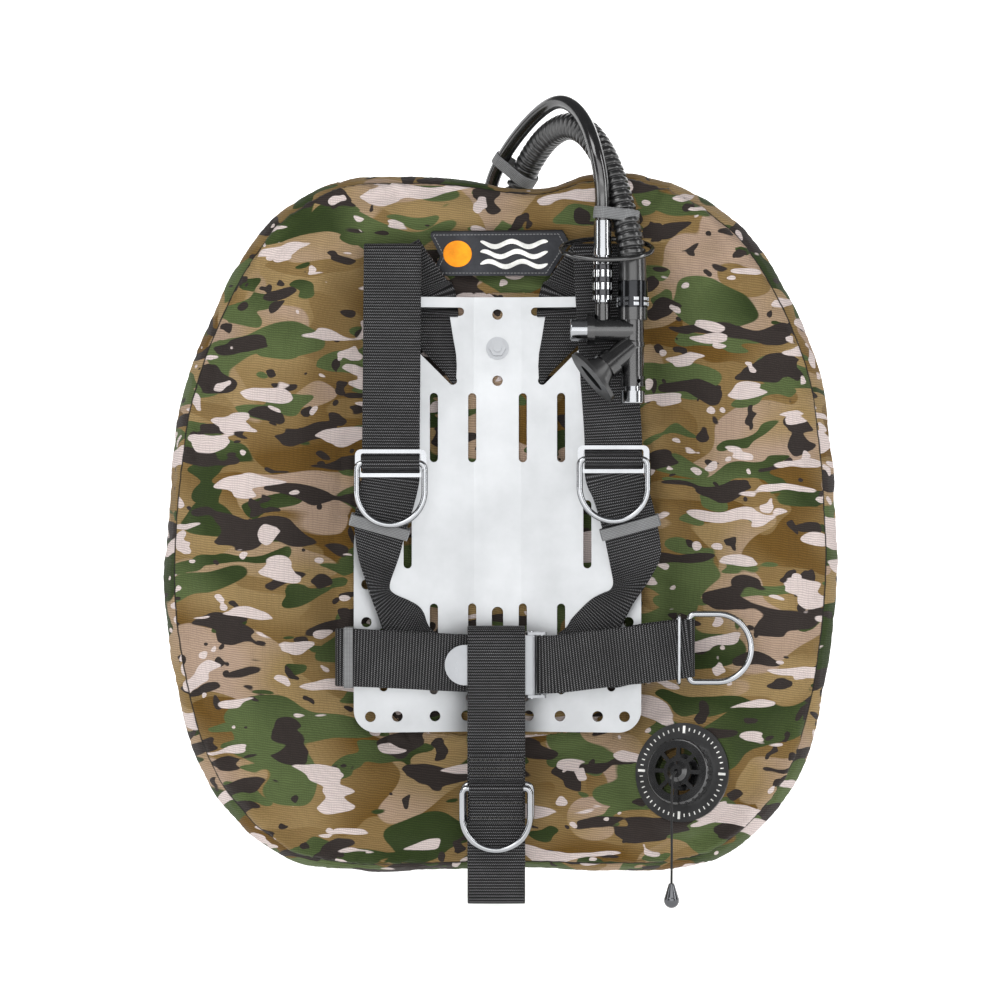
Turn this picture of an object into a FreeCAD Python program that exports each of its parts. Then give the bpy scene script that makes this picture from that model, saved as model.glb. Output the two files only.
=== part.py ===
"""Diving wing with a stainless backplate, a webbing harness and an inflator.

Millimetres, +Z up, +X to the right for someone who looks at the harness side, -Y towards that person.
The origin is midway between the two mounting studs, on the plane where a tank band rests on the nuts.
"""
import FreeCAD, Part
import math
import os

V = FreeCAD.Vector
X, Y, Z = V(1, 0, 0), V(0, 1, 0), V(0, 0, 1)
CLEAR = 0.3                 # usual gap between pieces that don't touch

# mounting studs and the stack that they clamp
STUD_SPACING = 280.0
STUD_R = 4.0                # free end, over the M8 thread
THREAD_R = 3.6              # where the flanks of stud and nut meet
STUD_REAR_END = 28.0
STUD_FRONT_END = -25.0
NUT_FLATS = 13.0
NUT_H = 6.5
WASHER_R = 10.0
WASHER_BORE_R = 4.2
WASHER_T = 1.6
GROMMET_R = 9.0
GROMMET_T = 3.0
GROMMET_BACK = -(NUT_H + WASHER_T)

# backplate
PLATE_T = 3.0
PLATE_REAR = GROMMET_BACK - GROMMET_T
PLATE_FRONT = PLATE_REAR - PLATE_T
PLATE_BEND_X = 21.0
PLATE_BEND_DEG = 8.0
PLATE_SLOPE = math.tan(math.radians(PLATE_BEND_DEG))
PLATE_HALF_W = 126.0
PLATE_TOP, PLATE_BOTTOM = 185.0, -198.0

# wing
WING_MID_Y = -9.6
WING_SKIN = 1.0
INNER_HALF_W, INNER_HALF_H, INNER_MID_Z = 112.0, 194.0, -6.0
INNER_SQUARENESS = 5.0
SIDE_THICK, TOP_THICK, BOTTOM_THICK = 48.0, 30.0, 36.0     # half thicknesses of the lobes
PANEL_T = 2.0

# webbing
WEB_W, WEB_T = 50.0, 2.2
STRAP_Y = -54.2             # middle of the shoulder straps' front layer
RING_WIRE_R = 2.65
RING_HALF_W = 29.4          # middle of the wire
RING_REACH = 53.4           # bar to the round end, middle of the wire
WRAP_R = RING_WIRE_R + CLEAR + WEB_T / 2

# inflator
INFL_X, INFL_Y = 116.3, -76.0
VALVE_Z = 152.3             # middle of the cross tube
QD_X = 90.3
CROSS_R = 10.5
CROSS_START_X = 83.3
BODY_LOW_Z, BODY_TOP_Z = 112.3, 160.7
CUFF_Z = 171.2              # where the hose's cuff starts
HOSE_R = 12.0
LP_R = 6.3


# ---------------------------------------------------------------- helpers

def box(x0, x1, y0, y1, z0, z1):
    return Part.makeBox(x1 - x0, y1 - y0, z1 - z0, V(x0, y0, z0))


def rod(start, direction, radius, length):
    return Part.makeCylinder(radius, length, start, direction)


def pipe(start, direction, outer, inner, length):
    return rod(start, direction, outer, length).cut(rod(start, direction, inner, length))


def fused(shapes):
    whole = shapes[0].multiFuse(shapes[1:]) if len(shapes) > 1 else shapes[0]
    return whole.removeSplitter()


def solids_of(shape):
    """The shape's solids as one compound, or the solid itself if it is alone."""
    found = [s for s in shape.Solids if s.Volume > 0.01]
    return found[0] if len(found) == 1 else Part.makeCompound(found)


def rounded_outline(corners):
    """Closed wire through the (point, radius) corners, each rounded by its radius."""
    edges, count, ends = [], len(corners), []
    for i, (point, radius) in enumerate(corners):
        before = (corners[i - 1][0] - point).normalize()
        after = (corners[(i + 1) % count][0] - point).normalize()
        if radius == 0:
            ends.append((point, None, point))
            continue
        half = before.getAngle(after) / 2
        middle = point + (before + after).normalize() * (radius / math.sin(half))
        top = middle + (point - middle).normalize() * radius
        reach = radius / math.tan(half)
        ends.append((point + before * reach, top, point + after * reach))
    for i, (start, top, end) in enumerate(ends):
        if top is not None:
            edges.append(Part.Arc(start, top, end).toShape())
        following = ends[(i + 1) % count][0]
        if (following - end).Length > 1e-6:
            edges.append(Part.LineSegment(end, following).toShape())
    return Part.Wire(Part.__sortEdges__(edges))


def prism(corners, sweep):
    return Part.Face(rounded_outline(corners)).extrude(sweep)


def slot(x, z, length, width, tilt_deg=0.0):
    """Round-ended slot cutter through the plate: tilt 0 is upright, 90 lies along X."""
    tilt = math.radians(tilt_deg)
    along = V(math.sin(tilt), 0, math.cos(tilt))
    across = V(math.cos(tilt), 0, -math.sin(tilt))
    middle, half = V(x, -60, z), length / 2 - width / 2
    block = Part.makePolygon([middle + along * (a * half) + across * (b * width / 2)
                              for a, b in ((1, 1), (1, -1), (-1, -1), (-1, 1), (1, 1))])
    cutter = Part.Face(block).extrude(Y * 70)
    for side in (1, -1):
        cutter = cutter.fuse(rod(middle + along * (side * half), Y, width / 2, 70))
    return cutter


def path_pieces(points, bend=None, closed=False):
    """Straight runs and tangent arcs along the points. Without bend, each arc is as large as its runs allow."""
    count, arcs, radii = len(points), [], []
    inner = range(count) if closed else range(1, count - 1)
    for i in inner:
        here, last, following = points[i], points[i - 1], points[(i + 1) % count]
        before, after = (last - here), (following - here)
        shorter = min(before.Length, after.Length)
        half_turn = (math.pi - before.getAngle(after)) / 2
        radius = bend or 0.45 * shorter / math.tan(half_turn)
        reach = radius * math.tan(half_turn)
        before.normalize()
        after.normalize()
        middle = here + (before + after).normalize() * (radius / math.cos(half_turn))
        arcs.append((here + before * reach, middle, before.cross(after), 2 * half_turn, here + after * reach))
        radii.append(radius)
    pieces, spot = [], arcs[-1][4] if closed else points[0]
    for start, middle, normal, turn, end in arcs:
        pieces.append(("run", spot, start))
        pieces.append(("arc", start, middle, normal * -1, turn))
        spot = end
    if not closed:
        pieces.append(("run", spot, points[-1]))
    return pieces, radii


def round_tube(points, radius, bend=None, closed=False, label=None):
    """A round bar or hose along the points; with a label, its radii and volume are printed."""
    pieces, radii = path_pieces(points, bend, closed)
    solids, length = [], 0.0
    for piece in pieces:
        start = piece[1]
        if piece[0] == "run":
            run = piece[2] - start
            if run.Length > 1e-4:
                solids.append(rod(start, run, radius, run.Length))
                length += run.Length
            continue
        _, _, middle, axis, turn = piece
        heading = axis.cross(start - middle)
        disc = Part.Face(Part.Wire(Part.makeCircle(radius, start, heading)))
        solids.append(disc.revolve(middle, axis, math.degrees(turn)))
        length += turn * (start - middle).Length
    whole = fused(solids)
    if label:
        expected = math.pi * radius ** 2 * length
        print(label, "length", round(length, 1), "radii", [round(r) for r in radii],
              "volume ratio", round(whole.Volume / expected, 4))
    return whole


def ribbon(stations, thickness=WEB_T):
    """Flat webbing through (centre, direction across it) stations. A third value is the width, and such a
    station's edges stay where they are."""
    wires, count = [], len(stations)
    for i, (centre, across, *narrowed) in enumerate(stations):
        width = narrowed[0] if narrowed else WEB_W
        before = (centre - stations[i - 1][0]).normalize() if i else None
        after = (stations[i + 1][0] - centre).normalize() if i + 1 < count else None
        heading = (before or after) + (after or before)
        side = V(across).normalize()
        normal = heading.cross(side).normalize()
        side = side if narrowed else normal.cross(heading).normalize()
        bend = math.cos(before.getAngle(after) / 2) if before and after else 1.0
        up, out = normal * (thickness / 2 / max(bend, 0.6)), side * (width / 2)
        wires.append(Part.makePolygon([centre + out + up, centre + out - up, centre - out - up,
                                       centre - out + up, centre + out + up]))
    return Part.makeLoft(wires, True, True)


def arc_points(middle_a, middle_b, radius, start_deg, end_deg, steps):
    """Points of an arc in a plane of two row axes, as (a, b) pairs."""
    angles = [math.radians(start_deg + (end_deg - start_deg) * k / steps) for k in range(steps + 1)]
    return [(middle_a + radius * math.cos(t), middle_b + radius * math.sin(t)) for t in angles]


def helix_spring(start, axis, coil_r, wire_r, length, turns):
    """Compression spring with its first coil centre at start."""
    spiral = Part.makeHelix(length / turns, length, coil_r)
    ring = Part.Wire(Part.makeCircle(wire_r, V(coil_r, 0, 0), V(0, 1, 0)))
    spring = Part.Wire(spiral).makePipeShell([ring], True, True)
    spring.Placement = FreeCAD.Placement(start, FreeCAD.Rotation(Z, axis))
    return spring


def plate_front(x):
    """Y of the plate's front face at x."""
    return PLATE_FRONT - max(0.0, abs(x) - PLATE_BEND_X) * PLATE_SLOPE


# ---------------------------------------------------------------- backplate and studs

def backplate():
    edge_y = plate_front(PLATE_HALF_W)
    turn = math.radians(PLATE_BEND_DEG)
    rear_bend = PLATE_BEND_X + PLATE_T * math.tan(turn / 2)
    half = [(PLATE_HALF_W, edge_y), (PLATE_BEND_X, PLATE_FRONT)]
    rear = [(rear_bend, PLATE_REAR), (PLATE_HALF_W, edge_y + PLATE_T / math.cos(turn))]
    section = half + [(-x, y) for x, y in reversed(half)]
    section += [(-x, y) for x, y in reversed(rear)] + rear
    low = [V(x, y, PLATE_BOTTOM - 5) for x, y in section]
    sheet = Part.Face(Part.makePolygon(low + low[:1])).extrude(Z * (PLATE_TOP - PLATE_BOTTOM + 10))
    corners = [(V(95, 0, PLATE_TOP), 10), (V(97, 0, 150), 25), (V(PLATE_HALF_W, 0, -30), 60),
               (V(PLATE_HALF_W, 0, PLATE_BOTTOM), 20)]
    corners += [(V(-p.x, 0, p.z), r) for p, r in reversed(corners)]
    outline = prism([(p - Y * 60, r) for p, r in corners], Y * 80)
    cutters = [rod(V(0, -60, z), Y, 4.6, 70) for z in (169.8, 111.4)]
    cutters += [rod(V(0, -60, STUD_SPACING / 2), Y, 4.25, 70), slot(0, -119, 62, 10)]
    cutters += [slot(0, -168, 56, 7.4, 90)]
    for side in (1, -1):
        cutters += [slot(side * 57.5, 172.2, 56, 7.4, 90), slot(side * 58, 130, 60, 7.4, side * 45)]
        cutters += [slot(side * x, 70, 61, 7.2) for x in (22.3, 56)]
        cutters += [slot(side * 79, -24, 60, 7.2), slot(side * 100, -134, 56, 7.2)]
        cutters += [slot(side * 22.3, -115, 60, 7.2), slot(side * 56, -125, 80, 7.2)]
        cutters += [rod(V(side * x, -60, -184), Y, 4.7, 70) for x in (27.3, 55, 88, 111.5)]
        cutters += [rod(V(side * 115, -60, z), Y, 4.5, 70) for z in (-67.8, -101)]
    return sheet.common(outline).cut(Part.makeCompound(cutters)).removeSplitter()


def hex_nut(x, y, z):
    """Nut with its flat faces at y and y + NUT_H and a hole that fits the stud's thread."""
    across = NUT_FLATS / math.cos(math.pi / 6) / 2
    corners = [V(x + across * math.cos(k * math.pi / 3), y, z + across * math.sin(k * math.pi / 3))
               for k in range(6)]
    blank = Part.Face(Part.makePolygon(corners + corners[:1])).extrude(Y * NUT_H)
    return blank.cut(rod(V(x, y, z), Y, THREAD_R, NUT_H))


def stud_stack():
    """The two studs with their nuts, washers and grommets, as groups of separate solids."""
    stack = {name: [] for name in ("mounting_studs", "stud_nuts_rear", "stud_washers_rear", "wing_grommets",
                                   "stud_washers_front", "stud_nuts_front")}
    front_washer = PLATE_FRONT - WASHER_T
    for z in (STUD_SPACING / 2, -STUD_SPACING / 2):
        stack["mounting_studs"].append(fused([rod(V(0, 0, z), Y, STUD_R, STUD_REAR_END),
                                              rod(V(0, STUD_FRONT_END, z), Y, THREAD_R, -STUD_FRONT_END)]))
        stack["stud_nuts_rear"].append(hex_nut(0, -NUT_H, z))
        stack["stud_washers_rear"].append(pipe(V(0, GROMMET_BACK, z), Y, WASHER_R, WASHER_BORE_R, WASHER_T))
        stack["wing_grommets"].append(pipe(V(0, PLATE_REAR, z), Y, GROMMET_R, WASHER_BORE_R, GROMMET_T))
        stack["stud_washers_front"].append(pipe(V(0, front_washer, z), Y, WASHER_R, WASHER_BORE_R, WASHER_T))
        stack["stud_nuts_front"].append(hex_nut(0, front_washer - NUT_H, z))
    return {name: Part.makeCompound(solids) for name, solids in stack.items()}


# ---------------------------------------------------------------- wing

# Outer edge of the wing, from the top centre clockwise for someone who faces the harness side
WING_EDGE = [(33, 282), (80, 293), (125, 293), (165, 281), (205, 257), (240, 217), (270, 160), (288, 103),
             (297, 24), (300, -55), (293, -135), (276, -214), (247, -267), (208, -303), (160, -319),
             (85, -321), (0, -319), (-90, -322), (-160, -318), (-205, -299), (-240, -266), (-269, -214),
             (-288, -135), (-295, -55), (-287, 50), (-269, 129), (-233, 208), (-192, 260), (-143, 287),
             (-95, 292), (-30, 289)]
# Half section of a lobe: (share of the way out, share of the half thickness)
LOBE_SECTION = [(0.0, 0.0), (0.03, 0.06), (0.14, 0.2), (0.3, 0.52), (0.5, 0.88), (0.7, 1.0), (0.88, 0.74),
                (0.975, 0.3), (1.0, 0.0)]


def inner_edge(x, z):
    """Point of the wing's inner edge on the way from its middle to (x, z)."""
    a, b = x / INNER_HALF_W, (z - INNER_MID_Z) / INNER_HALF_H
    size = (abs(a) ** INNER_SQUARENESS + abs(b) ** INNER_SQUARENESS) ** (1 / INNER_SQUARENESS)
    return V(x / size, WING_MID_Y, INNER_MID_Z + (z - INNER_MID_Z) / size)


def lobe_half_thickness(x, z):
    sideways = abs(x) / math.hypot(x, z - INNER_MID_Z)
    end = TOP_THICK if z > INNER_MID_Z else BOTTOM_THICK
    return end + (SIDE_THICK - end) * sideways ** 1.5


def poles_through(points):
    """Poles of the closed uniform cubic spline that passes through the points."""
    poles, count = [V(p) for p in points], len(points)
    for _ in range(40):
        poles = [poles[i] + points[i] - (poles[i - 1] + poles[i] * 4 + poles[(i + 1) % count]) * (1 / 6)
                 for i in range(count)]
    return poles


def wing_solid(shrink):
    """The whole inflated ring, smaller by shrink all round."""
    rows = []
    for x, z in WING_EDGE:
        inner, outer = inner_edge(x, z), V(x, WING_MID_Y, z)
        out = (outer - inner).normalize()
        inner, outer = inner + out * shrink, outer - out * shrink
        half = lobe_half_thickness(x, z) - shrink
        front = [inner + (outer - inner) * u - Y * (half * h) for u, h in LOBE_SECTION]
        back = [inner + (outer - inner) * u + Y * (half * h) for u, h in reversed(LOBE_SECTION[1:-1])]
        rows.append(poles_through(front + back))
    columns = [poles_through([row[k] for row in rows]) for k in range(len(rows[0]))]
    grid = [[column[i] for column in columns] for i in range(len(rows))]
    surface = Part.BSplineSurface()
    rows_n, columns_n = len(grid), len(grid[0])
    surface.buildFromPolesMultsKnots(grid, [1] * (rows_n + 1), [1] * (columns_n + 1),
                                     list(range(rows_n + 1)), list(range(columns_n + 1)), True, True, 3, 3)
    solid = Part.Solid(Part.Shell([surface.toShape()]))
    if solid.Volume < 0:
        solid.reverse()
    return solid


def center_panel():
    count = 48
    outline = []
    for k in range(count):
        t = 2 * math.pi * k / count
        edge = inner_edge(INNER_HALF_W * math.cos(t), INNER_MID_Z + INNER_HALF_H * math.sin(t))
        outline.append(V(edge.x * 0.99, GROMMET_BACK - 2.2, INNER_MID_Z + (edge.z - INNER_MID_Z) * 0.994))
    curve = Part.BSplineCurve()
    curve.interpolate(outline, PeriodicFlag=True)
    panel = Part.Face(Part.Wire(curve.toShape())).extrude(Y * PANEL_T)
    for z in (STUD_SPACING / 2, -STUD_SPACING / 2):
        panel = panel.cut(rod(V(0, -20, z), Y, GROMMET_R, 30))
    return panel


# ---------------------------------------------------------------- harness

def d_ring(bar_middle, along_bar, outward):
    """Welded D-ring: its straight bar is centred on bar_middle and it reaches out along outward."""
    def at(a, b):
        return bar_middle + along_bar * a + outward * b
    half, legs, bend = RING_HALF_W, RING_REACH - RING_HALF_W, 5.0
    cut_in = bend * (1 - math.sqrt(0.5))
    edges = [Part.LineSegment(at(-half + bend, 0), at(half - bend, 0)),
             Part.Arc(at(half - bend, 0), at(half - cut_in, cut_in), at(half, bend)),
             Part.LineSegment(at(half, bend), at(half, legs)),
             Part.Arc(at(half, legs), at(0, RING_REACH), at(-half, legs)),
             Part.LineSegment(at(-half, legs), at(-half, bend)),
             Part.Arc(at(-half, bend), at(-half + cut_in, cut_in), at(-half + bend, 0))]
    wire = Part.Wire([edge.toShape() for edge in edges])
    section = Part.Wire(Part.makeCircle(RING_WIRE_R, at(-half + bend, 0), along_bar))
    return wire.makePipeShell([section], True, False)


def hump(x, bar_y, bar_z, base_y, across):
    """Stations of webbing that comes down at base_y and passes in front of a ring's bar."""
    over = arc_points(bar_y, bar_z, WRAP_R, 90, 270, 6)
    stations = [(x, base_y, bar_z + WRAP_R + 1.6)]
    stations += [(x, (base_y + bar_y) / 2, bar_z + WRAP_R)] + [(x, y, z) for y, z in over]
    stations += [(x, (base_y + bar_y) / 2, bar_z - WRAP_R), (x, base_y, bar_z - WRAP_R - 1.6)]
    return [(V(*p), across) for p in stations]


SLIDE_BAR_Y = STRAP_Y - WEB_T / 2 - CLEAR - 2.4 - CLEAR - RING_WIRE_R
SHOULDERS = {
    # side: x at the top fold, x at the slide, slide's z
    "left": (-91.0, -92.4, 38.0),
    "right": (90.5, 100.5, 41.5),
}
# Webbing below each slide, as points of its inner and outer edge. It twists as it goes down to the
# plate, because its inner edge turns in along the plate before its outer edge does.
STRAP_LOW = {
    "left": [((-73, -53, -1), (-121.5, -54.4, 6)), ((-80.4, -49, -23.2), (-124.4, -54.5, -10.8)),
             ((-86, -38, -44), (-123, -54, -30.5)), ((-92.3, -30, -59.5), (-120, -53, -47.5)),
             ((-96, -28, -72), (-112.5, -50, -69)), ((-92, -27, -76), (-105.5, -47, -89)),
             ((-77, -25, -82), (-99, -43, -110)), ((-66, -23, -89), (-89, -37, -131)),
             ((-60.5, -22.3, -108.5), (-64, -25.5, -157.5))],
    "right": [((84, -53.4, 6), (132, -54.4, 14)), ((92.5, -50, -23.7), (138, -54.5, -11.2)),
              ((96.5, -42, -42), (141.5, -54, -30)), ((100.3, -33, -58.9), (142.2, -52.5, -44.2)),
              ((102, -29.5, -68), (135, -51, -57.7)), ((100, -28.5, -73), (121.6, -48.5, -77.8)),
              ((92, -27.5, -75.5), (115.5, -46.5, -88)), ((81.5, -26, -81), (108.5, -43, -103)),
              ((68, -24, -95), (93, -36, -127)), ((60.5, -22.3, -108.5), (64, -25.5, -157.5))],
}


def between(one, other):
    """Webbing station from one edge point to the other."""
    one, other = V(*one), V(*other)
    return (one + other) / 2, other - one, (other - one).Length


def shoulder_webbing(side):
    sign = -1 if side == "left" else 1
    top_x, slide_x, slide_z = SHOULDERS[side]
    across = V(1, -sign * PLATE_SLOPE, 0)

    def by_plate(x, off, z):
        return V(sign * x, plate_front(x) + off, z), across
    fold = arc_points(-49.0, 223, 5.2, 0, 180, 6)
    up = [by_plate(59.5, -1.4, 167.5), by_plate(59.5, -1.4, 170.4), by_plate(59.5, 0.6, 172.3),
          by_plate(59.5, 3.2, 172.6), by_plate(59.5, 4.35, 174.2), by_plate(61, 4.4, 183),
          by_plate(62.5, 4.4, 186.8), (V(sign * 70, -27, 196), V(1, -sign * 0.12, sign * 0.2)),
          (V(sign * 80, -36, 209), V(1, -sign * 0.05, sign * 0.2))]
    up += [(V(top_x, y, z), X) for y, z in fold]
    down = [(V(top_x + (slide_x - top_x) * 0.5, STRAP_Y, 130), X), (V(slide_x, STRAP_Y, slide_z + 22), X)]
    down += hump(slide_x, SLIDE_BAR_Y, slide_z, STRAP_Y, X) + [(V(slide_x, STRAP_Y, slide_z - 14), X)]
    down += [between(*(pair if side == "right" else pair[::-1])) for pair in STRAP_LOW[side]]
    # through the plate's lower slot, behind the plate and up to the waist slot
    upright = Z * -sign
    through = [(V(sign * 56.4, plate_front(56) - 1.5, -135), upright),
               (V(sign * 56.0, plate_front(56) + 3.2, -135), upright),
               (V(sign * 57.6, plate_front(56) + 4.7, -135), upright),
               (V(sign * 63, plate_front(63) + PLATE_T + 1.7, -135), upright),
               (V(sign * 93, plate_front(93) + PLATE_T + 1.7, -134), upright)]
    # the short end that lies on the plate between the level slot and the slanted one
    outline = [(84, 165.5), (42, 165.5), (39, 150), (36.2, 135), (35.6, 124), (36.2, 112), (38.3, 108),
               (46, 118.5), (81, 154)]
    corners = [V(sign * x, plate_front(x) - 0.2, z) for x, z in outline]
    tail = Part.Face(Part.makePolygon(corners + corners[:1])).extrude(Y * -WEB_T)
    return Part.makeCompound([ribbon(up + down + through), tail])


def shoulder_slide(side):
    """Flat stainless slide in front of the strap; the strap comes forward through it over the ring's bar."""
    _, x, z = SHOULDERS[side]
    front = STRAP_Y - WEB_T / 2 - CLEAR - 2.4
    outer = [(V(x + a * 31, front, z + b * 12), 5) for a, b in ((1, 1), (-1, 1), (-1, -1), (1, -1))]
    inner = [(V(x + a * 26, front, z + b * 8.6), 2) for a, b in ((1, 1), (-1, 1), (-1, -1), (1, -1))]
    return prism(outer, Y * 2.4).cut(prism(inner, Y * 2.4))


HIP_BAR = V(165.5, -66.0, -121.5)
BUCKLE_PIN = V(29.5, -51.0, -137.0)
BUCKLE_BAR = V(38.5, -49.0, -137.0)
BUCKLE_BAR_R = 2.0
LEVEL_OUT = Z + X * 0.11                # across the right belt, which climbs outwards


def waist_webbing_left():
    fold = arc_points(-134.0, -49, 6.2, 90, 270, 6)
    inner = [(-98.8, -23.5, -133), (-102.5, -28.5, -133), (-114, -34, -132), (-125, -40.8, -131)]
    front = [(-114, -54.4, -131), (-85, -52.5, -132.5), (-50, -51, -134.5), (-20, -49.6, -136),
             (4, -48.4, -136.5), (20, -45.6, -137), (30.5, -45.0, -137)]
    path = inner + [(x, y, -130.5) for x, y in fold] + front
    return ribbon([(V(*p), Z) for p in path])


def waist_webbing_right():
    hip = arc_points(HIP_BAR.x, HIP_BAR.y, WRAP_R, 90, -90, 6)
    buckle = arc_points(BUCKLE_BAR.x, BUCKLE_BAR.y, BUCKLE_BAR_R + CLEAR + WEB_T / 2, 270, 90, 6)
    stations = [(V(98.8, -23.5, -134), Z), (V(102.5, -30, -133.5), Z), (V(116, -38, -129), LEVEL_OUT),
                (V(132, -46.5, -125.5), LEVEL_OUT), (V(148, -57.5, -123), LEVEL_OUT)]
    stations += [(V(x, y, HIP_BAR.z), Z) for x, y in hip]
    stations += [(V(153, -68.2, -123.5), LEVEL_OUT), (V(128, -62.0, -127), LEVEL_OUT),
                 (V(98, -56.5, -130.5), LEVEL_OUT), (V(72, -53.5, -134), LEVEL_OUT), (V(52, -52.4, -136.5), Z)]
    stations += [(V(x, y, BUCKLE_BAR.z), Z) for x, y in buckle]
    stations += [(V(52, -45.8, -136.5), Z), (V(78, -46.6, -133.5), LEVEL_OUT)]
    return ribbon(stations)


CROTCH_X = -1.0
TAB_W = 47.0
CROTCH_FRONT_Y, CROTCH_REAR_Y = -60.5, -48.5
CROTCH_RINGS = {
    # ring: x, bar y, bar z, the leg's face that its tab is sewn to
    "front": (-1.2, -67.4, -242.5, CROTCH_FRONT_Y - WEB_T / 2),
    "rear": (0.2, -53.4, -240.5, CROTCH_REAR_Y - WEB_T / 2),
}


def crotch_webbing():
    loop = arc_points(-50.5, -114.0, 10.0, 0, 180, 8)
    bottom = arc_points(-54.5, -337.0, 6.0, 180, 360, 6)
    path = [(-57.9, -188), (-57.6, -181), (-50, -172), (-41.2, -164)] + loop
    # the loop's front layer ends in a step where it is sewn to the strap below it
    path += [(-61.1, -125), (-62.7, -150), (-62.9, -164), (-62.0, -167), (CROTCH_FRONT_Y, -169.5)] + bottom
    path += [(CROTCH_REAR_Y, -218), (-43, -205), (-28, -186), (-19.5, -172.5), (PLATE_FRONT + 0.8, -168.2)]
    return ribbon([(V(CROTCH_X, y, z), X) for y, z in path])


def ring_tab(name):
    """Short webbing sewn above and below a crotch ring's bar."""
    x, bar_y, bar_z, leg_face = CROTCH_RINGS[name]
    base = leg_face - 0.2 - WEB_T / 2
    stations = [(V(CROTCH_X, base, bar_z + 28), X)] + hump(CROTCH_X, bar_y, bar_z, base, X)
    stations += [(V(CROTCH_X, base, bar_z - 30), X)]
    return ribbon([(centre, across, TAB_W) for centre, across in stations])


def sleeve_band(middle, across, along, inner_w, inner_t, length, wall):
    """Flat elastic sleeve round webbing: across and along are the webbing's directions."""
    across = V(across).normalize()
    along = (along - across * along.dot(across)).normalize()
    normal = across.cross(along)

    def block(extra, reach):
        a, n = across * (inner_w / 2 + extra), normal * (inner_t / 2 + extra)
        start = middle - along * (reach / 2)
        face = Part.Face(Part.makePolygon([start + a + n, start + a - n, start - a - n, start - a + n,
                                           start + a + n]))
        return face.extrude(along * reach)
    return block(wall, length).cut(block(0, length + 2))


def elastic_keepers():
    left = sleeve_band(V(-102.4, -51.6, -17), V(44, 5.5, -12.4), V(-0.12, 0.28, -1), WEB_W + 1, WEB_T + 3.8, 10, 1.0)
    right = sleeve_band(V(115.2, -52.2, -17.4), V(45.5, -4.5, 12.5), V(0.25, 0.16, -1), WEB_W + 1, WEB_T + 3.2, 10, 1.0)
    waist = sleeve_band(V(-129.3, -47.6, -130.7), Z, X, WEB_W + 1.4, 18.5, 8, 1.2)
    return Part.makeCompound([left, right, waist])


def hip_keeper():
    """Wire frame that pinches the two belt layers beside the hip ring."""
    x, z = HIP_BAR.x - 9.0, HIP_BAR.z - 1.0
    high, low = z + 29.5, z - 29.5
    front, rear = -72.6, -55.2
    corners = [V(x, front, high), V(x, rear, high), V(x, rear, low), V(x, front, low)]
    return round_tube(corners, 1.4, bend=3.5, closed=True)


def buckle():
    """Frame, lever and hinge pin of the waist buckle."""
    top, bottom = BUCKLE_PIN.z + 28.5, BUCKLE_PIN.z - 28.5
    cheek_t = 2.4
    cheek = [(V(24.4, -55.5, 0), 2.5), (V(42.5, -53.5, 0), 2.5), (V(42.5, -45.5, 0), 2.0), (V(33, -39.0, 0), 2.0),
             (V(24.4, -39.0, 0), 2.0)]
    frame = []
    for start in (top - cheek_t, bottom):
        frame.append(prism([(p + Z * start, r) for p, r in cheek], Z * cheek_t))
    inner = 2 * 28.5
    frame.append(rod(V(BUCKLE_BAR.x, BUCKLE_BAR.y, bottom), Z, BUCKLE_BAR_R, inner))
    frame.append(rod(V(28.0, -41.6, bottom), Z, 1.6, inner))
    frame = fused(frame)
    pin = rod(V(BUCKLE_PIN.x, BUCKLE_PIN.y, bottom - 0.8), Z, 2.0, inner + 1.6)
    frame = frame.cut(pin)
    barrel_half = 28.5 - cheek_t - 0.3
    barrel_start = V(BUCKLE_PIN.x, BUCKLE_PIN.y, BUCKLE_PIN.z - barrel_half)
    barrel = rod(barrel_start, Z, 4.0, 2 * barrel_half)
    front = BUCKLE_PIN.y - 4.0
    mid_z = BUCKLE_PIN.z
    tongue_r = 17.5
    tongue_x = -28.2
    outline = [(V(BUCKLE_PIN.x, front, mid_z + barrel_half), 0), (V(14, front, mid_z + barrel_half), 4),
               (V(8, front, mid_z + tongue_r), 6), (V(tongue_x - tongue_r, front, mid_z + tongue_r), tongue_r - 0.05),
               (V(tongue_x - tongue_r, front, mid_z - tongue_r), tongue_r - 0.05), (V(8, front, mid_z - tongue_r), 6),
               (V(14, front, mid_z - barrel_half), 4), (V(BUCKLE_PIN.x, front, mid_z - barrel_half), 0)]
    lever = barrel.fuse(prism(outline, Y * 2.0))
    lever = lever.cut(rod(barrel_start - Z, Z, 2.05, 2 * barrel_half + 2)).removeSplitter()
    return frame, lever, pin


# ---------------------------------------------------------------- hoses

CORRUGATED_ROUTE = [(16, 42, 252), (16, 42, 272), (21, 38, 295), (33, 24, 317), (47, 4, 332), (63, -19, 337),
                    (78, -39, 328), (91, -52.5, 308), (100.5, -60.5, 283), (107.5, -67.5, 257), (114, -74.5, 232),
                    (116.3, -76, 212), (116.3, -76, 194)]
LP_ROUTE = [(90.3, -76, 246), (90.3, -76, 264), (89, -80.5, 284), (84, -77.5, 308), (77, -63.5, 332),
            (67, -46, 349), (54, -26, 357.5), (39, -6, 352), (22, 15, 337), (6, 34, 317), (-5, 47, 296),
            (-10, 55, 268), (-12, 58, 236), (-12, 58.5, 200), (-11, 57.5, 162), (-10, 57, 124), (-10.5, 57, 86),
            (-10, 57.5, 48), (-10, 57.5, 12)]


def hose_middle(hose, spot, axis):
    """Middle of the hose's section in the plane through spot."""
    slab = rod(spot - axis * 0.5, axis, 22.0, 1.0)
    return hose.common(slab).Solids[0].CenterOfMass


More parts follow.
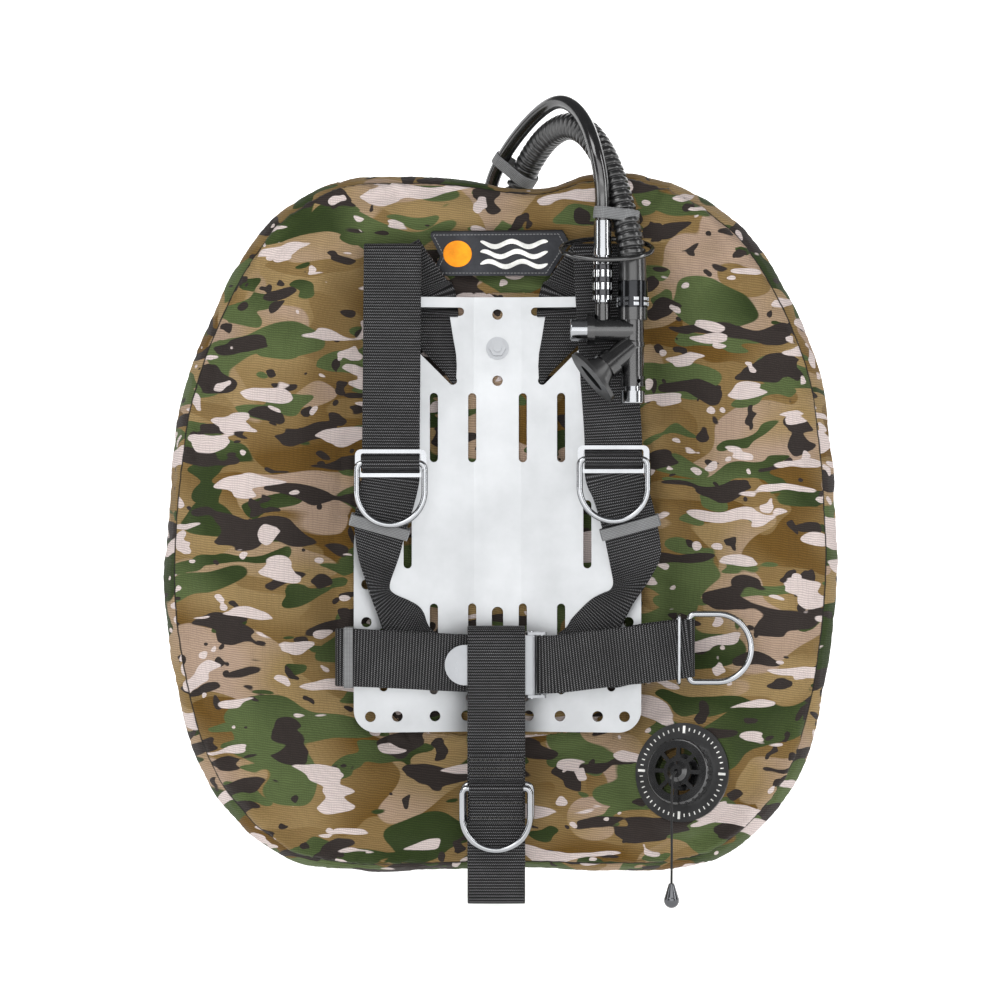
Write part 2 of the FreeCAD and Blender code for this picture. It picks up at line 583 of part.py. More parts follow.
def hose_band(lp_hose, corrugated, spot, axis, length=10.0):
    """Elastic band stretched round both hoses, near spot, with its width along axis."""
    axis = axis.normalize()
    first, second = hose_middle(lp_hose, spot, axis), hose_middle(corrugated, spot, axis)
    gap = second - first
    gap = gap - axis * gap.dot(axis)
    apart, along = gap.Length, V(gap).normalize()
    side = axis.cross(along)

    def skin(extra, reach):
        a, b = LP_R + extra, HOSE_R + extra
        start = first - axis * (reach / 2)
        lean = math.acos((a - b) / apart)
        flat = []
        for sign in (1, -1):
            out = along * math.cos(lean) + side * (sign * math.sin(lean))
            flat.append((start + out * a, start + gap + out * b))
        corners = [flat[0][0], flat[0][1], flat[1][1], flat[1][0], flat[0][0]]
        return fused([Part.Face(Part.makePolygon(corners)).extrude(axis * reach), rod(start, axis, a, reach),
                      rod(start + gap, axis, b, reach)])
    return solids_of(skin(1.8, length).cut(skin(0.3, length + 2)).cut(lp_hose).cut(corrugated))


# ---------------------------------------------------------------- inflator

def inflator_body(mouth_start, mouth_axis):
    centre = V(INFL_X, INFL_Y, 0)
    body = fused([rod(centre + Z * BODY_LOW_Z, Z, 9.6, BODY_TOP_Z - BODY_LOW_Z),
                  rod(centre + Z * BODY_TOP_Z, Z, 12.6, CUFF_Z - BODY_TOP_Z), rod(centre + Z * CUFF_Z, Z, 9.2, 22.0),
                  rod(centre + Z * 137.7, Z, 10.3, 4.0), rod(mouth_start, mouth_axis, 10.0, 24.0),
                  rod(V(CROSS_START_X, INFL_Y, VALVE_Z), X, CROSS_R, INFL_X - CROSS_START_X)])
    hollow = [rod(centre + Z * (BODY_LOW_Z + 2), Z, 7.4, 90), rod(mouth_start, mouth_axis, 7.4, 40),
              rod(V(CROSS_START_X - 1, INFL_Y, VALVE_Z), X, 7.6, 24), rod(centre + Z * (BODY_LOW_Z - 1), Z, 3.0, 5),
              rod(V(QD_X, INFL_Y, VALVE_Z + 6), Z, 4.6, 12)]
    return body.cut(Part.makeCompound(hollow))


def inflate_valve():
    """Round button in a threaded collar at the end of the cross tube, with its spring inside the tube."""
    middle = V(0, INFL_Y, VALVE_Z)
    lip = pipe(middle + X * (CROSS_START_X - 1.8), X, 13.6, 4.0, 1.8)
    collar = pipe(middle + X * 77.0, X, 13.6, 9.5, CROSS_START_X - 1.8 - 77.0).fuse(lip).removeSplitter()
    button = rod(middle + X * 62.3, X, 9.3, 15.0)
    button = button.makeFillet(1.5, [e for e in button.Edges if abs(e.BoundBox.XMax - 62.3) < 0.01][:1])
    button = button.fuse(rod(middle + X * 77.3, X, 2.4, 16.0)).removeSplitter()
    spring = helix_spring(middle + X * 84.2, X, 5.0, 0.45, 10.0, 5)
    return {"inflate_collar": collar, "inflate_button": button, "inflate_spring": spring}


def deflate_valve():
    """Silver end cap that is pressed up into the bottom collar against its spring."""
    centre = V(INFL_X, INFL_Y, 0)
    collar_z = 103.8
    collar = pipe(centre + Z * collar_z, Z, 10.6, 7.7, BODY_LOW_Z - collar_z)
    collar = collar.cut(rod(centre + Z * 108.2, V(0.45, -0.9, 0), 1.8, 20))
    cap = rod(centre + Z * 89.0, Z, 10.3, 10.8)
    cap = cap.makeFillet(1.2, [e for e in cap.Edges if abs(e.BoundBox.ZMax - 89.0) < 0.01][:1])
    cap = fused([cap, rod(centre + Z * 99.8, Z, 7.3, 5.5), rod(centre + Z * 105.3, Z, 2.4, 18.0)])
    spring = helix_spring(centre + Z * 106.0, Z, 5.0, 0.45, 5.4, 3)
    return {"bottom_collar": collar, "deflate_button": cap, "deflate_spring": spring}


def mouthpiece(mouth_start, mouth_axis):
    """Collar and oval rubber mouthpiece with its slot, at the end of the slanted tube."""
    long_way = V(0.64, 0, -0.77)
    long_way = (long_way - mouth_axis * long_way.dot(mouth_axis)).normalize()
    short_way = mouth_axis.cross(long_way)
    collar_start = mouth_start + mouth_axis * 24.0
    neck_start = collar_start + mouth_axis * 9.0
    face = neck_start + mouth_axis * 12.0

    def oval(start, half_long, half_short):
        return Part.Wire(Part.Ellipse(start + long_way * half_long, start + short_way * half_short, start).toShape())
    neck = Part.makeLoft([Part.Wire(Part.makeCircle(10.5, neck_start, mouth_axis)), oval(face, 17, 9.5)], True)
    flange = Part.Face(oval(face, 26, 15)).extrude(mouth_axis * 3.4)
    way_in = Part.Face(oval(neck_start - mouth_axis, 7.2, 4.6)).extrude(mouth_axis * 30)
    bite_slot = Part.Face(oval(face - mouth_axis * 4, 13.5, 4.6)).extrude(mouth_axis * 12)
    return {"mouthpiece_collar": pipe(collar_start, mouth_axis, 12.2, 7.4, 9.0),
            "mouthpiece": neck.fuse(flange).cut(way_in).cut(bite_slot).removeSplitter()}


def quick_disconnect():
    """Nipple on the cross tube, the hose's coupler over it and the sleeve that slides on the coupler."""
    foot = V(QD_X, INFL_Y, VALVE_Z)
    nipple = fused([rod(foot, Z, 6.8, 22.0), rod(foot + Z * 22.0, Z, 4.6, 12.0)])
    nipple = nipple.cut(rod(V(70, INFL_Y, VALVE_Z), X, CROSS_R, 60))
    spigot = rod(foot + Z * 7.8, Z, 4.6, 6.0)
    coupler = rod(foot + Z * 23.7, Z, 6.4, 46.0).fuse(rod(foot + Z * 64.0, Z, 8.2, 5.7))
    coupler = coupler.cut(rod(foot + Z * 22.7, Z, 4.65, 25.0)).removeSplitter()
    return {"inflator_nipple": nipple.fuse(spigot).removeSplitter(), "qd_coupler": coupler,
            "qd_sleeve": pipe(foot + Z * 25.7, Z, 8.6, 6.45, 33.0)}


def inflator():
    mouth_axis = V(-0.74, -0.27, -0.61).normalize()
    mouth_start = V(INFL_X, INFL_Y, 140.0)
    nodes = {"inflator_body": inflator_body(mouth_start, mouth_axis)}
    nodes.update(inflate_valve())
    nodes.update(deflate_valve())
    nodes.update(mouthpiece(mouth_start, mouth_axis))
    nodes.update(quick_disconnect())
    return nodes


# ---------------------------------------------------------------- dump valve

DUMP_FACE = V(155.3, -60.8, -228.4)      # middle of the cap's outer face
DUMP_AXIS = V(-0.41, -0.895, 0.17).normalize()
CORD_ROUTE = [(158.46, -53.9, -229.7), (152.9, -66.1, -227.4), (150.6, -71.3, -235.5), (150.2, -72.3, -247.5),
              (149.8, -72.4, -266), (150.1, -72.6, -295), (149.8, -72.4, -324)]
CORD_R = 1.0


def spoke(start, out, way):
    """Block between two of the cap's windows, from the valve's axis outwards."""
    half = out.cross(way) * 1.8
    face = Part.Face(Part.makePolygon([start + half, start + half + way * 22, start - half + way * 22,
                                       start - half, start + half]))
    return face.extrude(out * 14)


def dump_valve():
    nodes = {}
    out = DUMP_AXIS

    def at(depth):
        return DUMP_FACE - out * depth
    cap_h, rim_r, notch_r = 11.0, 28.6, 1.5
    cap = rod(at(cap_h), out, rim_r, cap_h)
    cap = cap.makeFillet(2.0, [e for e in cap.Edges if abs(e.Length - 2 * math.pi * rim_r) < 0.5
                               and (e.CenterOfMass - DUMP_FACE).Length < 1])
    cap = cap.cut(rod(at(cap_h + 1), out, 25.2, cap_h - 2)).fuse(Part.makeCone(9.0, 5.5, 2.4, DUMP_FACE, out))
    side = out.cross(Z).normalize()
    windows, notches = pipe(at(6), out, 20.5, 12.5, 12), []
    for k in range(8):
        windows = windows.cut(spoke(at(7), out, FreeCAD.Rotation(out, 45.0 * k).multVec(side)))
    for k in range(26):
        spot = at(cap_h + 1) + FreeCAD.Rotation(out, 360.0 * k / 26).multVec(side) * (rim_r + 0.5)
        notches.append(rod(spot, out, notch_r, cap_h + 2))
    cap = cap.cut(Part.makeCompound([windows] + notches)).cut(rod(at(6), out, 1.8, 12))
    nodes["dump_valve_cap"] = cap
    base = rod(at(cap_h + 9), out, 25.0, 13.0).cut(rod(at(cap_h + 4.5), out, 21.5, 20))
    base = base.cut(rod(at(cap_h + 12), out, 11.0, 20))
    nodes["dump_valve_base"] = base
    nodes["dump_valve_ring"] = pipe(at(cap_h + 2.9), out, 43.0, 25.0, 2.6)
    nodes["dump_poppet"] = fused([rod(at(cap_h + 4.2), out, 16.0, 3.0), rod(at(cap_h + 1.2), out, 2.6, 4.5)])
    nodes["dump_spring"] = helix_spring(at(cap_h + 0.6), out, 7.0, 0.5, 7.6, 4)
    return nodes


# ---------------------------------------------------------------- assembly

def build():
    nodes = {"backplate": backplate()}
    nodes.update(stud_stack())

    cover = wing_solid(0.0)
    bladder = wing_solid(WING_SKIN)
    nodes.update(inflator())
    nodes.update(dump_valve())

    # elbow on the wing's back
    port = V(16, 18, 234)
    elbow_run = [port + Y * 2, port + Y * 24, port + V(0, 24, 18)]
    elbow = round_tube(elbow_run, 9.0, bend=11.0)
    flange = rod(port - Y * 6, Y, 21.0, 11.0)
    elbow = elbow.fuse(rod(port + Y * 5, Y, 12.5, 4.0)).removeSplitter()
    elbow = elbow.cut(flange)
    pocket = rod(port - Y * 14, Y, 21.0, 40.0)
    nodes["elbow_flange"] = flange.cut(rod(port - Y * 6, Y, 7.5, 9))
    nodes["wing_elbow"] = elbow

    valve_pocket = rod(DUMP_FACE - DUMP_AXIS * 22, DUMP_AXIS, 25.0, 60)
    ring_pocket = rod(DUMP_FACE - DUMP_AXIS * 13.9, DUMP_AXIS, 43.0, 60)
    skin = cover.cut(bladder)
    front_half = box(-400, 400, -100, WING_MID_Y, -400, 400)
    back_half = box(-400, 400, WING_MID_Y, 100, -400, 400)
    nodes["wing_cover_front"] = solids_of(skin.common(front_half).cut(ring_pocket).cut(valve_pocket))
    nodes["wing_cover_back"] = solids_of(skin.common(back_half).cut(pocket))
    bladder = bladder.cut(valve_pocket).cut(ring_pocket).cut(rod(port - Y * 6, Y, 21.0, 40.0))
    nodes["wing_bladder"] = solids_of(bladder)
    nodes["wing_center_panel"] = center_panel()

    # emblem patch, seated on the top lobe
    slope, off = V(0, -0.475, 0.88), V(0, -0.88, -0.475)
    corner_xz = [(-58, 0), (-50, 16), (-60, 36), (57, 37), (63, 27), (46, 0)]
    base = V(0, -20.2, 205)
    corners = [(base + X * x + slope * (z / 0.88), 3) for x, z in corner_xz]
    patch = prism(corners, off * 3.8)
    nodes["emblem_patch"] = solids_of(patch.cut(cover))

    # harness
    for side in ("left", "right"):
        nodes[f"shoulder_webbing_{side}"] = shoulder_webbing(side)
        _, x, z = SHOULDERS[side]
        nodes[f"shoulder_d_ring_{side}"] = d_ring(V(x, SLIDE_BAR_Y, z), X, Z * -1)
    nodes["shoulder_slides"] = Part.makeCompound([shoulder_slide("left"), shoulder_slide("right")])
    nodes["waist_webbing_left"] = waist_webbing_left()
    nodes["waist_webbing_right"] = waist_webbing_right()
    nodes["crotch_webbing"] = crotch_webbing()
    nodes["ring_tabs"] = Part.makeCompound([ring_tab("front"), ring_tab("rear")])
    for name, (x, bar_y, bar_z, _) in CROTCH_RINGS.items():
        nodes[f"crotch_d_ring_{name}"] = d_ring(V(x, bar_y, bar_z), X, Z * -1)
    nodes["hip_d_ring"] = d_ring(HIP_BAR, Z, X)
    nodes["elastic_keepers"] = elastic_keepers()
    nodes["hip_keeper"] = hip_keeper()
    nodes["buckle_frame"], nodes["buckle_lever"], nodes["buckle_pin"] = buckle()

    # hoses
    corrugated = round_tube([V(*p) for p in CORRUGATED_ROUTE], HOSE_R, label="corrugated_hose")
    lp_hose = round_tube([V(*p) for p in LP_ROUTE], LP_R, label="lp_hose")
    nodes["corrugated_hose"], nodes["lp_hose"] = corrugated, lp_hose
    nodes["hose_clamp"] = pipe(V(INFL_X, INFL_Y, CUFF_Z), Z, 12.8, 9.2, 194.0 - CUFF_Z)
    near, end = V(*LP_ROUTE[0]), V(*LP_ROUTE[-1])
    nodes["hose_ferrules"] = Part.makeCompound([pipe(near - Z * 24, Z, 7.6, 3.0, 24.0),
                                                pipe(end - Z * 22, Z, 7.6, 3.0, 22.0)])
    nodes["first_stage_fitting"] = fused([rod(end - Z * 30, Z, 8.5, 8.0), rod(end - Z * 44, Z, 4.76, 14.0)])
    nodes["hose_band_lower"] = hose_band(lp_hose, corrugated, V(98, -77, 252), V(0.1, 0, 1))
    nodes["hose_band_upper"] = hose_band(lp_hose, corrugated, V(12, 36, 305), V(0.5, -0.45, 0.74))
    ring = [V(94 + 40 * math.cos(t), -74.5 + 21.5 * math.sin(t), 222 + 11 * math.sin(t))
            for t in [2 * math.pi * k / 16 for k in range(16)]]
    nodes["retaining_ring"] = round_tube(ring, 2.1, closed=True)
    cord = [V(*p) for p in CORD_ROUTE]
    nodes["pull_cord"] = round_tube(cord, CORD_R, label="pull_cord")
    knob_top = cord[-1]
    nodes["pull_knob"] = fused([Part.makeCone(2.4, 6.54, 13.5, knob_top, Z * -1),
                                Part.makeSphere(6.6, knob_top - Z * 14.4)])
    return nodes


def main():
    os.makedirs("parts", exist_ok=True)
    for name, shape in build().items():
        shape.exportStep(f"parts/{name}.step")
        print(name, "solids", len(shape.Solids), "volume", round(shape.Volume), "valid", shape.isValid())


main()
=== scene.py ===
"""Looks of the diving wing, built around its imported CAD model. Lengths in the code are in millimetres."""
import math
import bpy
import numpy as np
from mathutils import Matrix, Vector


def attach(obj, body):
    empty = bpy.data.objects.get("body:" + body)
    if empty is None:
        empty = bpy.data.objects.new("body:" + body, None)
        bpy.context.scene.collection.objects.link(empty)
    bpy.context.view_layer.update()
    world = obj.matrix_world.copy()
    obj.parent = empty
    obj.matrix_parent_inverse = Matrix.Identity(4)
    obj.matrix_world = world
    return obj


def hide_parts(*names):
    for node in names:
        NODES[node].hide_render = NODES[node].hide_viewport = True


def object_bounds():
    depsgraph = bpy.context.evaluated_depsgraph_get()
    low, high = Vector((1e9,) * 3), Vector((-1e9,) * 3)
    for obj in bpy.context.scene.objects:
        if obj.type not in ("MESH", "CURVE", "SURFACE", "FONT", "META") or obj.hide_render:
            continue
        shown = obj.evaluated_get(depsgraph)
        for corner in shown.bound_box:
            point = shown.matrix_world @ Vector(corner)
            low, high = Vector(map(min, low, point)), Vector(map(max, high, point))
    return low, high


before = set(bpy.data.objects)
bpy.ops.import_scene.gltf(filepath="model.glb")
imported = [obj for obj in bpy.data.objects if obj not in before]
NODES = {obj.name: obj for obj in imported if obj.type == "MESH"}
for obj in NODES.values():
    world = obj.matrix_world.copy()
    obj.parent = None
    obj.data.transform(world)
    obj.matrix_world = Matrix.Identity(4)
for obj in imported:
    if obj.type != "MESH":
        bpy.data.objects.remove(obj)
cad_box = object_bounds()
SCENE = bpy.context.scene
X, Y, Z = np.eye(3)
SEED = 7


def vec(*values):
    return np.array(values, float)


def unit(v):
    return v / np.linalg.norm(v)


# -------- camera and cords

CAMERA_BACK, VIEW_WIDTH, SENSOR = 2420.0, 880.0, 36.0


def camera():
    data = bpy.data.cameras.new("camera")
    data.sensor_width = SENSOR
    data.lens = SENSOR * (CAMERA_BACK - 20.0) / VIEW_WIDTH
    made = bpy.data.objects.new("camera", data)
    SCENE.collection.objects.link(made)
    made.location = (0.0022, -CAMERA_BACK / 1000, 0.0062)
    made.rotation_euler = (math.radians(90), 0, 0)
    SCENE.camera = made


CORRUGATED_ROUTE = [(16, 42, 252), (16, 42, 272), (21, 38, 295), (33, 24, 317), (47, 4, 332), (63, -19, 337),
                    (78, -39, 328), (91, -52.5, 308), (100.5, -60.5, 283), (107.5, -67.5, 257),
                    (114, -74.5, 232), (116.3, -76, 212), (116.3, -76, 194)]
LP_ROUTE = [(90.3, -76, 246), (90.3, -76, 264), (89, -80.5, 284), (84, -77.5, 308), (77, -63.5, 332),
            (67, -46, 349), (54, -26, 357.5), (39, -6, 352), (22, 15, 337), (6, 34, 317), (-5, 47, 296),
            (-10, 55, 268), (-12, 58, 236), (-12, 58.5, 200), (-11, 57.5, 162), (-10, 57, 124),
            (-10.5, 57, 86), (-10, 57.5, 48), (-10, 57.5, 12)]
CORD_ROUTE = [(158.46, -53.9, -229.7), (152.9, -66.1, -227.4), (150.6, -71.3, -235.5), (150.2, -72.3, -247.5),
              (149.8, -72.4, -266), (150.1, -72.6, -295), (149.8, -72.4, -324)]
HOSE_R, LP_R, CORD_R = 12.0, 6.3, 1.0


def nurbs(name, route, radius=0.0):
    """A smooth curve with the route's points as its control points."""
    data = bpy.data.curves.new(name, "CURVE")
    data.dimensions = "3D"
    data.bevel_depth = radius / 1000
    data.bevel_resolution = 6
    data.use_fill_caps = radius > 0
    line = data.splines.new("NURBS")
    line.points.add(len(route) - 1)
    for point, place in zip(line.points, route):
        point.co = (place[0] / 1000, place[1] / 1000, place[2] / 1000, 1)
    line.order_u = 3
    line.use_endpoint_u = True
    line.resolution_u = 14
    made = bpy.data.objects.new(name, data)
    SCENE.collection.objects.link(made)
    return made


def centreline(route):
    """Points of the route's smooth curve, in millimetres."""
    thin = nurbs("centreline", route)
    mesh = bpy.data.meshes.new_from_object(thin)
    points = np.array([v.co for v in mesh.vertices]) * 1000
    bpy.data.objects.remove(thin)
    bpy.data.meshes.remove(mesh)
    return points


# -------- materials

def srgb(r, g, b):
    def linear(c):
        c /= 255
        return c / 12.92 if c <= 0.04045 else ((c + 0.055) / 1.055) ** 2.4
    return linear(r), linear(g), linear(b), 1.0


class Paint:
    """A node material that is built up a step at a time."""

    def __init__(self, name, **constants):
        self.material = bpy.data.materials.new(name)
        self.material.use_nodes = True
        self.tree = self.material.node_tree
        self.bsdf = self.tree.nodes["Principled BSDF"]
        for key, value in constants.items():
            self.bsdf.inputs[key.replace("_", " ")].default_value = value
        self.place = self.add("TexCoord").outputs["Object"]
        self.flat = self.add("UVMap").outputs["UV"]

    def add(self, kind, sockets=(), **settings):
        node = self.tree.nodes.new("ShaderNode" + kind)
        for key, value in settings.items():
            setattr(node, key, value)
        for key, value in dict(sockets).items():
            if isinstance(value, bpy.types.NodeSocket):
                self.tree.links.new(value, node.inputs[key])
            else:
                node.inputs[key].default_value = value
        return node

    def math(self, operation, *values):
        return self.add("Math", dict(enumerate(values)), operation=operation).outputs[0]

    def stretch(self, scale):
        return self.add("Mapping", {"Vector": self.place, "Scale": scale}).outputs[0]

    def noise(self, scale, where=None, detail=2.0, rough=0.5):
        sockets = {"Vector": where or self.place, "Scale": scale, "Detail": detail, "Roughness": rough}
        return self.add("TexNoise", sockets).outputs["Fac"]

    def ramp(self, value, stops):
        node = self.add("ValToRGB", {"Fac": value})
        ramp = node.color_ramp
        for i, (at, color) in enumerate(stops):
            stop = ramp.elements[i] if i < 2 else ramp.elements.new(at)
            stop.position, stop.color = at, color
        return node.outputs["Color"]

    def step(self, value, low, high):
        """0 below low, 1 above high."""
        return self.add("MapRange", {"Value": value, "From Min": low, "From Max": high}).outputs[0]

    def mix(self, share, a, b, blend="MIX"):
        node = self.add("Mix", data_type="RGBA", blend_type=blend)
        for socket, value in ((node.inputs[0], share), (node.inputs[6], a), (node.inputs[7], b)):
            if isinstance(value, bpy.types.NodeSocket):
                self.tree.links.new(value, socket)
            else:
                socket.default_value = value
        return node.outputs[2]

    def worn(self, share, look, value, darkest, low=0.3, high=0.7):
        """The look, darkened where the value is low."""
        shades = [(low, (darkest, darkest, darkest, 1)), (high, (1, 1, 1, 1))]
        return self.mix(share, look, self.ramp(value, shades), "MULTIPLY")

    def color(self, value):
        self.tree.links.new(value, self.bsdf.inputs["Base Color"])

    def rough(self, value, low, high):
        spread = self.add("MapRange", {"Value": value, "To Min": low, "To Max": high}).outputs[0]
        self.tree.links.new(spread, self.bsdf.inputs["Roughness"])

    def bump(self, height, depth, strength=1.0, under=None):
        """Bump of that depth in millimetres, on top of an earlier one."""
        node = self.add("Bump", {"Height": height, "Distance": depth / 1000, "Strength": strength})
        if under:
            self.tree.links.new(under, node.inputs["Normal"])
        self.tree.links.new(node.outputs[0], self.bsdf.inputs["Normal"])
        return node.outputs[0]

    def parts(self, where):
        return self.add("SeparateXYZ", {"Vector": where}).outputs

    def wave(self, value, period_mm, lead=0.0):
        """Sine from 0 to 1 along a length in metres."""
        turns = self.math("MULTIPLY_ADD", value, 2000 * math.pi / period_mm, lead)
        return self.math("MULTIPLY_ADD", self.math("SINE", turns), 0.5, 0.5)


def cloth_weave(paint, pitch=1.5):
    x, y, z = paint.parts(paint.place)[:3]
    wobble = paint.math("MULTIPLY", paint.noise(60.0), 0.004)
    across = paint.math("MAXIMUM", paint.wave(paint.math("ADD", x, wobble), pitch),
                        paint.wave(paint.math("ADD", y, wobble), pitch))
    slanted = paint.math("MULTIPLY_ADD", x, 0.12, paint.math("ADD", z, wobble))
    across = paint.math("MULTIPLY_ADD", across, 0.6, 0.4)
    return paint.math("MULTIPLY", across, paint.wave(slanted, pitch, 1.0))


def camouflage():
    """Generic field camouflage: soft khaki and brown under hard-edged tan, green, dark and pale shapes.
    The second flat coordinate is the distance from the wing's seams, where the pattern breaks off."""
    paint = Paint("camouflage_cloth", Specular_IOR_Level=0.2, Sheen_Weight=0.06, Sheen_Roughness=0.5)
    khaki, brown = srgb(150, 126, 84), srgb(104, 76, 28)
    tan, green, deep_green = srgb(170, 146, 126), srgb(84, 98, 58), srgb(46, 60, 24)
    dark, pale = srgb(50, 43, 40), srgb(212, 198, 194)
    past = paint.step(paint.parts(paint.flat)[1], -0.0001, 0.0001)
    cut = paint.add("VectorMath", {0: (0.37, 0.21, 0.43), "Scale": past}, operation="SCALE").outputs[0]
    bend = paint.add("TexNoise", {"Vector": paint.place, "Scale": 11.0, "Detail": 1.0})
    reach = {0: bend.outputs["Color"], 1: (0.05, 0.05, 0.035)}
    bent = paint.add("VectorMath", reach, operation="MULTIPLY").outputs[0]
    place = paint.add("VectorMath", {0: paint.place, 1: bent}, operation="ADD").outputs[0]
    place = paint.add("VectorMath", {0: place, 1: cut}, operation="ADD").outputs[0]

    def field(scale, offset, slant=0.12, detail=1.0):
        where = paint.add("Mapping", {"Vector": place, "Scale": scale, "Location": offset,
                                      "Rotation": (0, slant, 0)}).outputs[0]
        return paint.noise(1.0, where, detail, 0.45)

    def over(look, shape, edge, tone):
        return paint.mix(paint.step(shape, edge, edge + 0.006), look, tone)
    look = paint.mix(paint.step(field((6, 5, 9), (3, 1, 8)), 0.40, 0.60), khaki, brown)
    look = over(look, field((10, 8, 20), (8, 3, 1)), 0.56, paint.mix(0.45, khaki, brown))
    faded = paint.mix(paint.step(field((9, 6, 14), (5, 5, 5)), 0.4, 0.62), tan, khaki)
    look = over(look, field((8, 7, 15), (1, 7, 2)), 0.535, faded)
    shade = paint.mix(paint.step(field((8, 8, 10), (2, 2, 9)), 0.42, 0.62), green, deep_green)
    look = over(look, field((9, 8, 18), (9, 2, 4), -0.2), 0.552, shade)
    look = over(look, field((19, 15, 46), (5, 8, 3), 0.25), 0.600, shade)
    look = over(look, field((17, 14, 44), (4, 9, 1), 0.2, 1.4), 0.602, dark)
    look = over(look, field((48, 40, 62), (6, 1, 7), 0.2), 0.675, dark)
    look = over(look, field((15, 12, 50), (7, 3, 6), 0.24, 1.4), 0.618, pale)
    look = over(look, field((42, 36, 60), (2, 6, 9), 0.2), 0.690, pale)
    weave = cloth_weave(paint, 2.0)
    worn = paint.noise(28.0, detail=4.0)
    look = paint.worn(0.35, look, worn, 0.72)
    look = paint.worn(0.6, look, weave, 0.45, 0.0, 0.8)
    away = paint.math("ABSOLUTE", paint.parts(paint.flat)[1])
    look = paint.mix(paint.step(away, 0.0014, 0.0003), look, (0.012, 0.010, 0.008, 1))
    paint.color(look)
    paint.rough(worn, 0.78, 0.95)
    soft = paint.bump(paint.noise(55.0, detail=3.0), 2.2, 0.5)
    paint.bump(weave, 0.25, 0.8, soft)
    return paint.material


def webbing():
    """Ribbed nylon: raised ribs across the strap, broken into zigzag stitches along its width, with painted
    highlights on the rib tops and painted shade in the grooves between them.
    """
    rib, stitch = 2.5, 1.8
    paint = Paint("black_webbing", Specular_IOR_Level=0.2, Sheen_Weight=0.04, Sheen_Roughness=0.4)
    u, v = paint.parts(paint.flat)[:2]
    zigzag = paint.math("PINGPONG", u, stitch / 2000)
    ribs = paint.wave(paint.math("MULTIPLY_ADD", zigzag, 0.9, v), rib)
    row = paint.math("FLOOR", paint.math("MULTIPLY", v, 1000 / rib))
    cells = paint.math("SINE", paint.math("ADD", paint.math("MULTIPLY", u, 2000 * math.pi / stitch),
                                          paint.math("MULTIPLY", row, math.pi)))
    cells = paint.math("MULTIPLY_ADD", cells, 0.25, 0.75)
    height = paint.math("MULTIPLY", ribs, cells)
    # Painted highlight and painted shade: the rib tops are coloured light grey as highlight, the grooves
    # between ribs near-black as shade.
    look = paint.ramp(height, [(0.34, srgb(8, 8, 9)), (0.66, srgb(52, 52, 54)), (0.98, srgb(150, 150, 152))])
    fuzz = paint.noise(35.0, detail=4.0)
    paint.color(paint.worn(0.6, look, fuzz, 0.45))
    paint.rough(fuzz, 0.42, 0.65)
    paint.bump(height, 0.5, 0.9)
    return paint.material


def steel(name, light=(226, 228, 230), rough=(0.12, 0.24), grain=(900, 900, 30), depth=0.01):
    """Steel with fine drawn grain, soft clouding and small dents."""
    paint = Paint(name, Metallic=1.0)
    tone = srgb(*light)
    cloud = paint.noise(14.0, detail=5.0, rough=0.6)
    lines = paint.noise(1.0, paint.stretch(grain), 3.0)
    look = paint.mix(paint.step(cloud, 0.35, 0.75), tone, tuple(c * 0.80 for c in tone[:3]) + (1.0,))
    paint.color(look)
    paint.rough(paint.math("MULTIPLY", paint.math("ADD", lines, cloud), 0.5), *rough)
    soft = paint.bump(paint.noise(40.0, detail=2.0), 0.12, 0.25)
    paint.bump(lines, depth, 0.5, soft)
    return paint.material


def plastic(name, tone=(30, 30, 31), rough=(0.32, 0.5), grain=700.0, depth=0.06, shine=1.0):
    """Moulded plastic or rubber: fine grain, rubbed lighter here and there."""
    paint = Paint(name, IOR=1.45 + 0.4 * shine, Specular_IOR_Level=0.3 + 0.5 * shine, Coat_Weight=0.8 * shine,
                  Coat_Roughness=0.12)
    color = srgb(*tone)
    rubbed = paint.noise(45.0, detail=5.0, rough=0.65)
    lighter = tuple(c * 1.9 + 0.004 for c in color[:3]) + (1.0,)
    paint.color(paint.mix(paint.step(rubbed, 0.45, 0.8), color, lighter))
    paint.rough(rubbed, *rough)
    soft = paint.bump(paint.noise(60.0), 0.15, 0.3)
    paint.bump(paint.noise(grain, detail=1.0), depth, 0.5, soft)
    return paint.material


def knurled_steel(name, centre, ridges):
    """Polished steel with upright ridges and a few rings round a vertical axis, with painted shade in the
    grooves between the ridges and in the rings.
    """
    paint = Paint(name, Metallic=1.0)
    x, y, z = paint.parts(paint.place)[:3]
    angle = paint.math("ARCTAN2", paint.math("SUBTRACT", y, centre[1] / 1000),
                       paint.math("SUBTRACT", x, centre[0] / 1000))
    flute = paint.math("SINE", paint.math("MULTIPLY", angle, float(ridges)))
    flute = paint.math("MULTIPLY_ADD", flute, 0.5, 0.5)
    bands = paint.step(paint.wave(z, 11.0), 0.25, 0.45)
    height = paint.math("MULTIPLY", paint.step(flute, 0.25, 0.6), bands)
    # Painted shade: the grooves between the ridges and the ring grooves are coloured dark grey, the ridges
    # light steel.
    paint.color(paint.ramp(height, [(0.0, srgb(70, 70, 72)), (0.8, srgb(226, 228, 230))]))
    paint.rough(paint.noise(120.0, detail=3.0), 0.12, 0.3)
    paint.bump(height, 0.8, 1.0)
    return paint.material


def elastic():
    paint = Paint("grey_elastic", Roughness=0.8, Sheen_Weight=0.1)
    u, v = paint.parts(paint.flat)[:2]
    weave = paint.math("MULTIPLY", paint.wave(v, 1.1), paint.wave(u, 1.4))
    worn = paint.noise(90.0, detail=4.0)
    look = paint.ramp(weave, [(0.0, srgb(96, 97, 98)), (0.7, srgb(150, 151, 152))])
    paint.color(paint.worn(0.6, look, worn, 0.7))
    paint.rough(worn, 0.65, 0.9)
    paint.bump(weave, 0.2, 0.7)
    return paint.material


